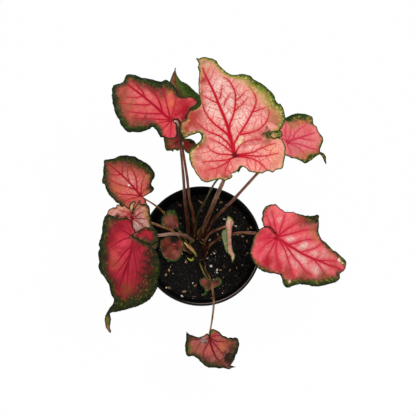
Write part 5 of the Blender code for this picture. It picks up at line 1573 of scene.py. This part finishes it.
def under_blade(leaf, reach, sink):
    """Places in mm just under the midrib, out to the given reach from the junction."""
    midrib = np.vstack([(0, 0), main_veins(leaf)[0][1:]])
    away = np.linalg.norm(midrib, axis=1)
    spots = np.stack([np.interp(reach, away, midrib[:, k]) for k in (0, 1)], axis=1)
    local = shape_blade(leaf, spots)
    local[:, 2] -= sink
    return local @ np.array(blade_rotation(leaf).to_matrix()).T + np.array(leaf.junction)


def grow_stalk(name, stem):
    """A stalk from the crown to its blade and on under the midrib, thinning as it goes."""
    leaf = LEAVES[name]
    foot = (*stem.base, crown_height(*stem.base) - 1.5)
    run = 0.12 * leaf.length
    top = under_blade(leaf, (0, run * 0.5, run), stem.radii[1] + 1.0)
    route = np.array([foot, *stem.via, *top])
    steps = np.linalg.norm(np.diff(route, axis=0), axis=1)
    whole = steps.sum()
    axis = spline_through(route, int(24 + whole / 2.2))
    share = np.linspace(0, 1, len(axis))
    from_foot, from_end = share * whole, (1 - share) * whole
    thick = stem.radii[0] + (stem.radii[1] - stem.radii[0]) * share
    flare = 1 + 0.35 * np.exp(-(from_foot / 7) ** 2)
    taper = 0.12 + 0.88 * np.clip(from_end / (run * 1.1), 0, 1) ** 0.7
    seed = 300 + list(STEMS).index(name)
    sway = 1 + 0.04 * ripples(from_foot[:, None], 22.0, seed)
    points, faces, numbers = tube_mesh(axis, thick * flare * taper * sway, 16)
    return make_piece("stem_" + name + "_grown", points * MM, faces,
                      [stalk_skins[stem.tones]], ["stem_" + name], numbers)


for name, stem in STEMS.items():
    grow_stalk(name, stem)
print("stalks:", len(STEMS))

# %% [markdown]
# ## The young leaf and the sheaths
# The youngest leaf is still a rolled spindle, with the edge of its blade as a spiral seam.
# Thin pointed sheaths stand at the foot of the stalks. A sheath is part of a tube that
# opens towards its tip: its half angle shrinks along the way.

# %% Rolled leaf
SPINDLE_FOOT = (-5, -8.5)
SPINDLE_ROUTE = [(-6, -7, 96), (-8.5, -4.5, 100), (-12, -2, 103), (-15.5, 1.5, 105)]
ROLLED_TONES = ("b0b04c", "cc9058", "8c5a3a", "ecc890")
YOUNG_TONES = ("7c7434", "a89c54", "5c5426", "c4bc70")


def young_leaf():
    """Stalk and rolled blade of the youngest leaf; radius r (1 - seam), seam spirals."""
    foot = (*SPINDLE_FOOT, crown_height(*SPINDLE_FOOT) - 1.5)
    axis = spline_through([foot, (-5.1, -8.3, 90), SPINDLE_ROUTE[0]], 20)
    radius = np.interp(np.linspace(0, 1, 20), (0, 0.5, 1), (1.5, 1.0, 0.85))
    points, faces, numbers = tube_mesh(axis, radius, 16)
    make_piece("stem_curled_young_grown", points * MM, faces,
               [living_stalk("young_stalk_skin", YOUNG_TONES)],
               ["stem_curled_young"], numbers)
    rows, columns = 70, 40
    axis = spline_through(SPINDLE_ROUTE, rows)
    share = np.linspace(0, 1, rows)
    thick = np.interp(share, (0, 0.12, 0.35, 0.62, 0.85, 1), (0.75, 1.3, 1.8, 1.5, 0.9, 0.25))
    angle = np.linspace(0, 2 * np.pi, columns, endpoint=False)[:, None]
    twist = (angle - 5.2 * share + np.pi) % (2 * np.pi)
    seam = 0.16 * np.exp(-twist / 0.5)
    points, faces, numbers = tube_mesh(axis, thick * (1 + seam - 0.05), columns)
    make_piece("blade_curled_young_rolled", points * MM, faces,
               [living_stalk("rolled_leaf_skin", ROLLED_TONES)],
               ["blade_curled_young"], numbers)


young_leaf()

# %% Sheaths
# base: (x, y) of the foot in mm; via: points on the way to the tip; radius at the foot in
# mm; tones, as for a stalk. The crown scales are papery rests of old sheaths: they are
# too thin for the plain model, so they replace nothing.
SHEATHS = {
    "sheath_rear": ((-3, 10.5), [(-1.5, 13, 95), (1.5, 16, 105), (4, 22, 118)], 1.9,
                    ("b8a850", "76802e", "54502a", "c4c070")),
    "sheath_left": ((-12.5, 10), [(-13, 12, 94), (-13.5, 15.5, 101)], 1.2,
                    ("6c7434", "4c5c28", "3c4020", "8c9448")),
    "sprout_front": ((-8, -11), [(-10, -13, 91), (-13, -11, 95)], 1.7,
                     ("b0b050", "c0cc3c", "8a8a3c", "e8ea88")),
    "crown_scale_left": ((-10.5, 0), [(-10, 3, 92), (-6.5, 4, 96)], 1.2,
                         ("5c5428", "8c8444", "3c3418", "b0a468")),
    "crown_scale_right": ((3, 1), [(1, 2, 93), (-1.5, 3.5, 95)], 1.0,
                          ("6a4c24", "a89458", "4a3418", "c8b080")),
    "crown_scale_front": ((2.5, -11), [(5, -7, 92), (7.5, -3, 94)], 1.6,
                          ("2e1a10", "5a3420", "1e100a", "6e4630")),
    "crown_scale_side": ((-3, -14.5), [(0.5, -13, 90), (5, -12.5, 90)], 1.5,
                         ("2e1a10", "4e2e1c", "1e100a", "6a4028")),
}
SHEATH_THICKNESS = 0.3 * MM


def sheath(name, base, via, radius, tones):
    """Pointed channel: half angle from 170 degrees at the foot to 25 at the tip."""
    rows, columns = 34, 25
    foot = (*base, crown_height(*base) - 1.0)
    axis = spline_through([foot, *via], rows)
    share = np.linspace(0, 1, rows)
    first, second = carried_sides(axis)
    half = np.radians(np.interp(share, (0, 0.45, 1), (170, 120, 25)))
    across = np.linspace(-1, 1, columns)
    angle = half[:, None] * across + math.radians(200)
    thick = radius * (1 - share) ** 0.6 + 0.12
    rings = axis[:, None] + thick[:, None, None] * (
        np.cos(angle)[..., None] * first[:, None]
        + np.sin(angle)[..., None] * second[:, None])
    skin = np.stack(np.broadcast_arrays(across * radius, across * 0,
                                        share[:, None] * STREAK_STRETCH * 14), axis=-1)
    numbers = {"skin": skin.reshape(-1, 3) * MM, "along": np.repeat(share, columns)}
    replaced = [name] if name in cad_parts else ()
    piece = make_piece(name + "_grown", rings.reshape(-1, 3) * MM,
                       [grid_faces(rows, columns, wrap=False)],
                       [living_stalk(name + "_skin", tones)], replaced, numbers)
    return thicken(piece, SHEATH_THICKNESS)


for name, (base, via, radius, tones) in SHEATHS.items():
    sheath(name, base, via, radius, tones)
print("sheaths:", len(SHEATHS))
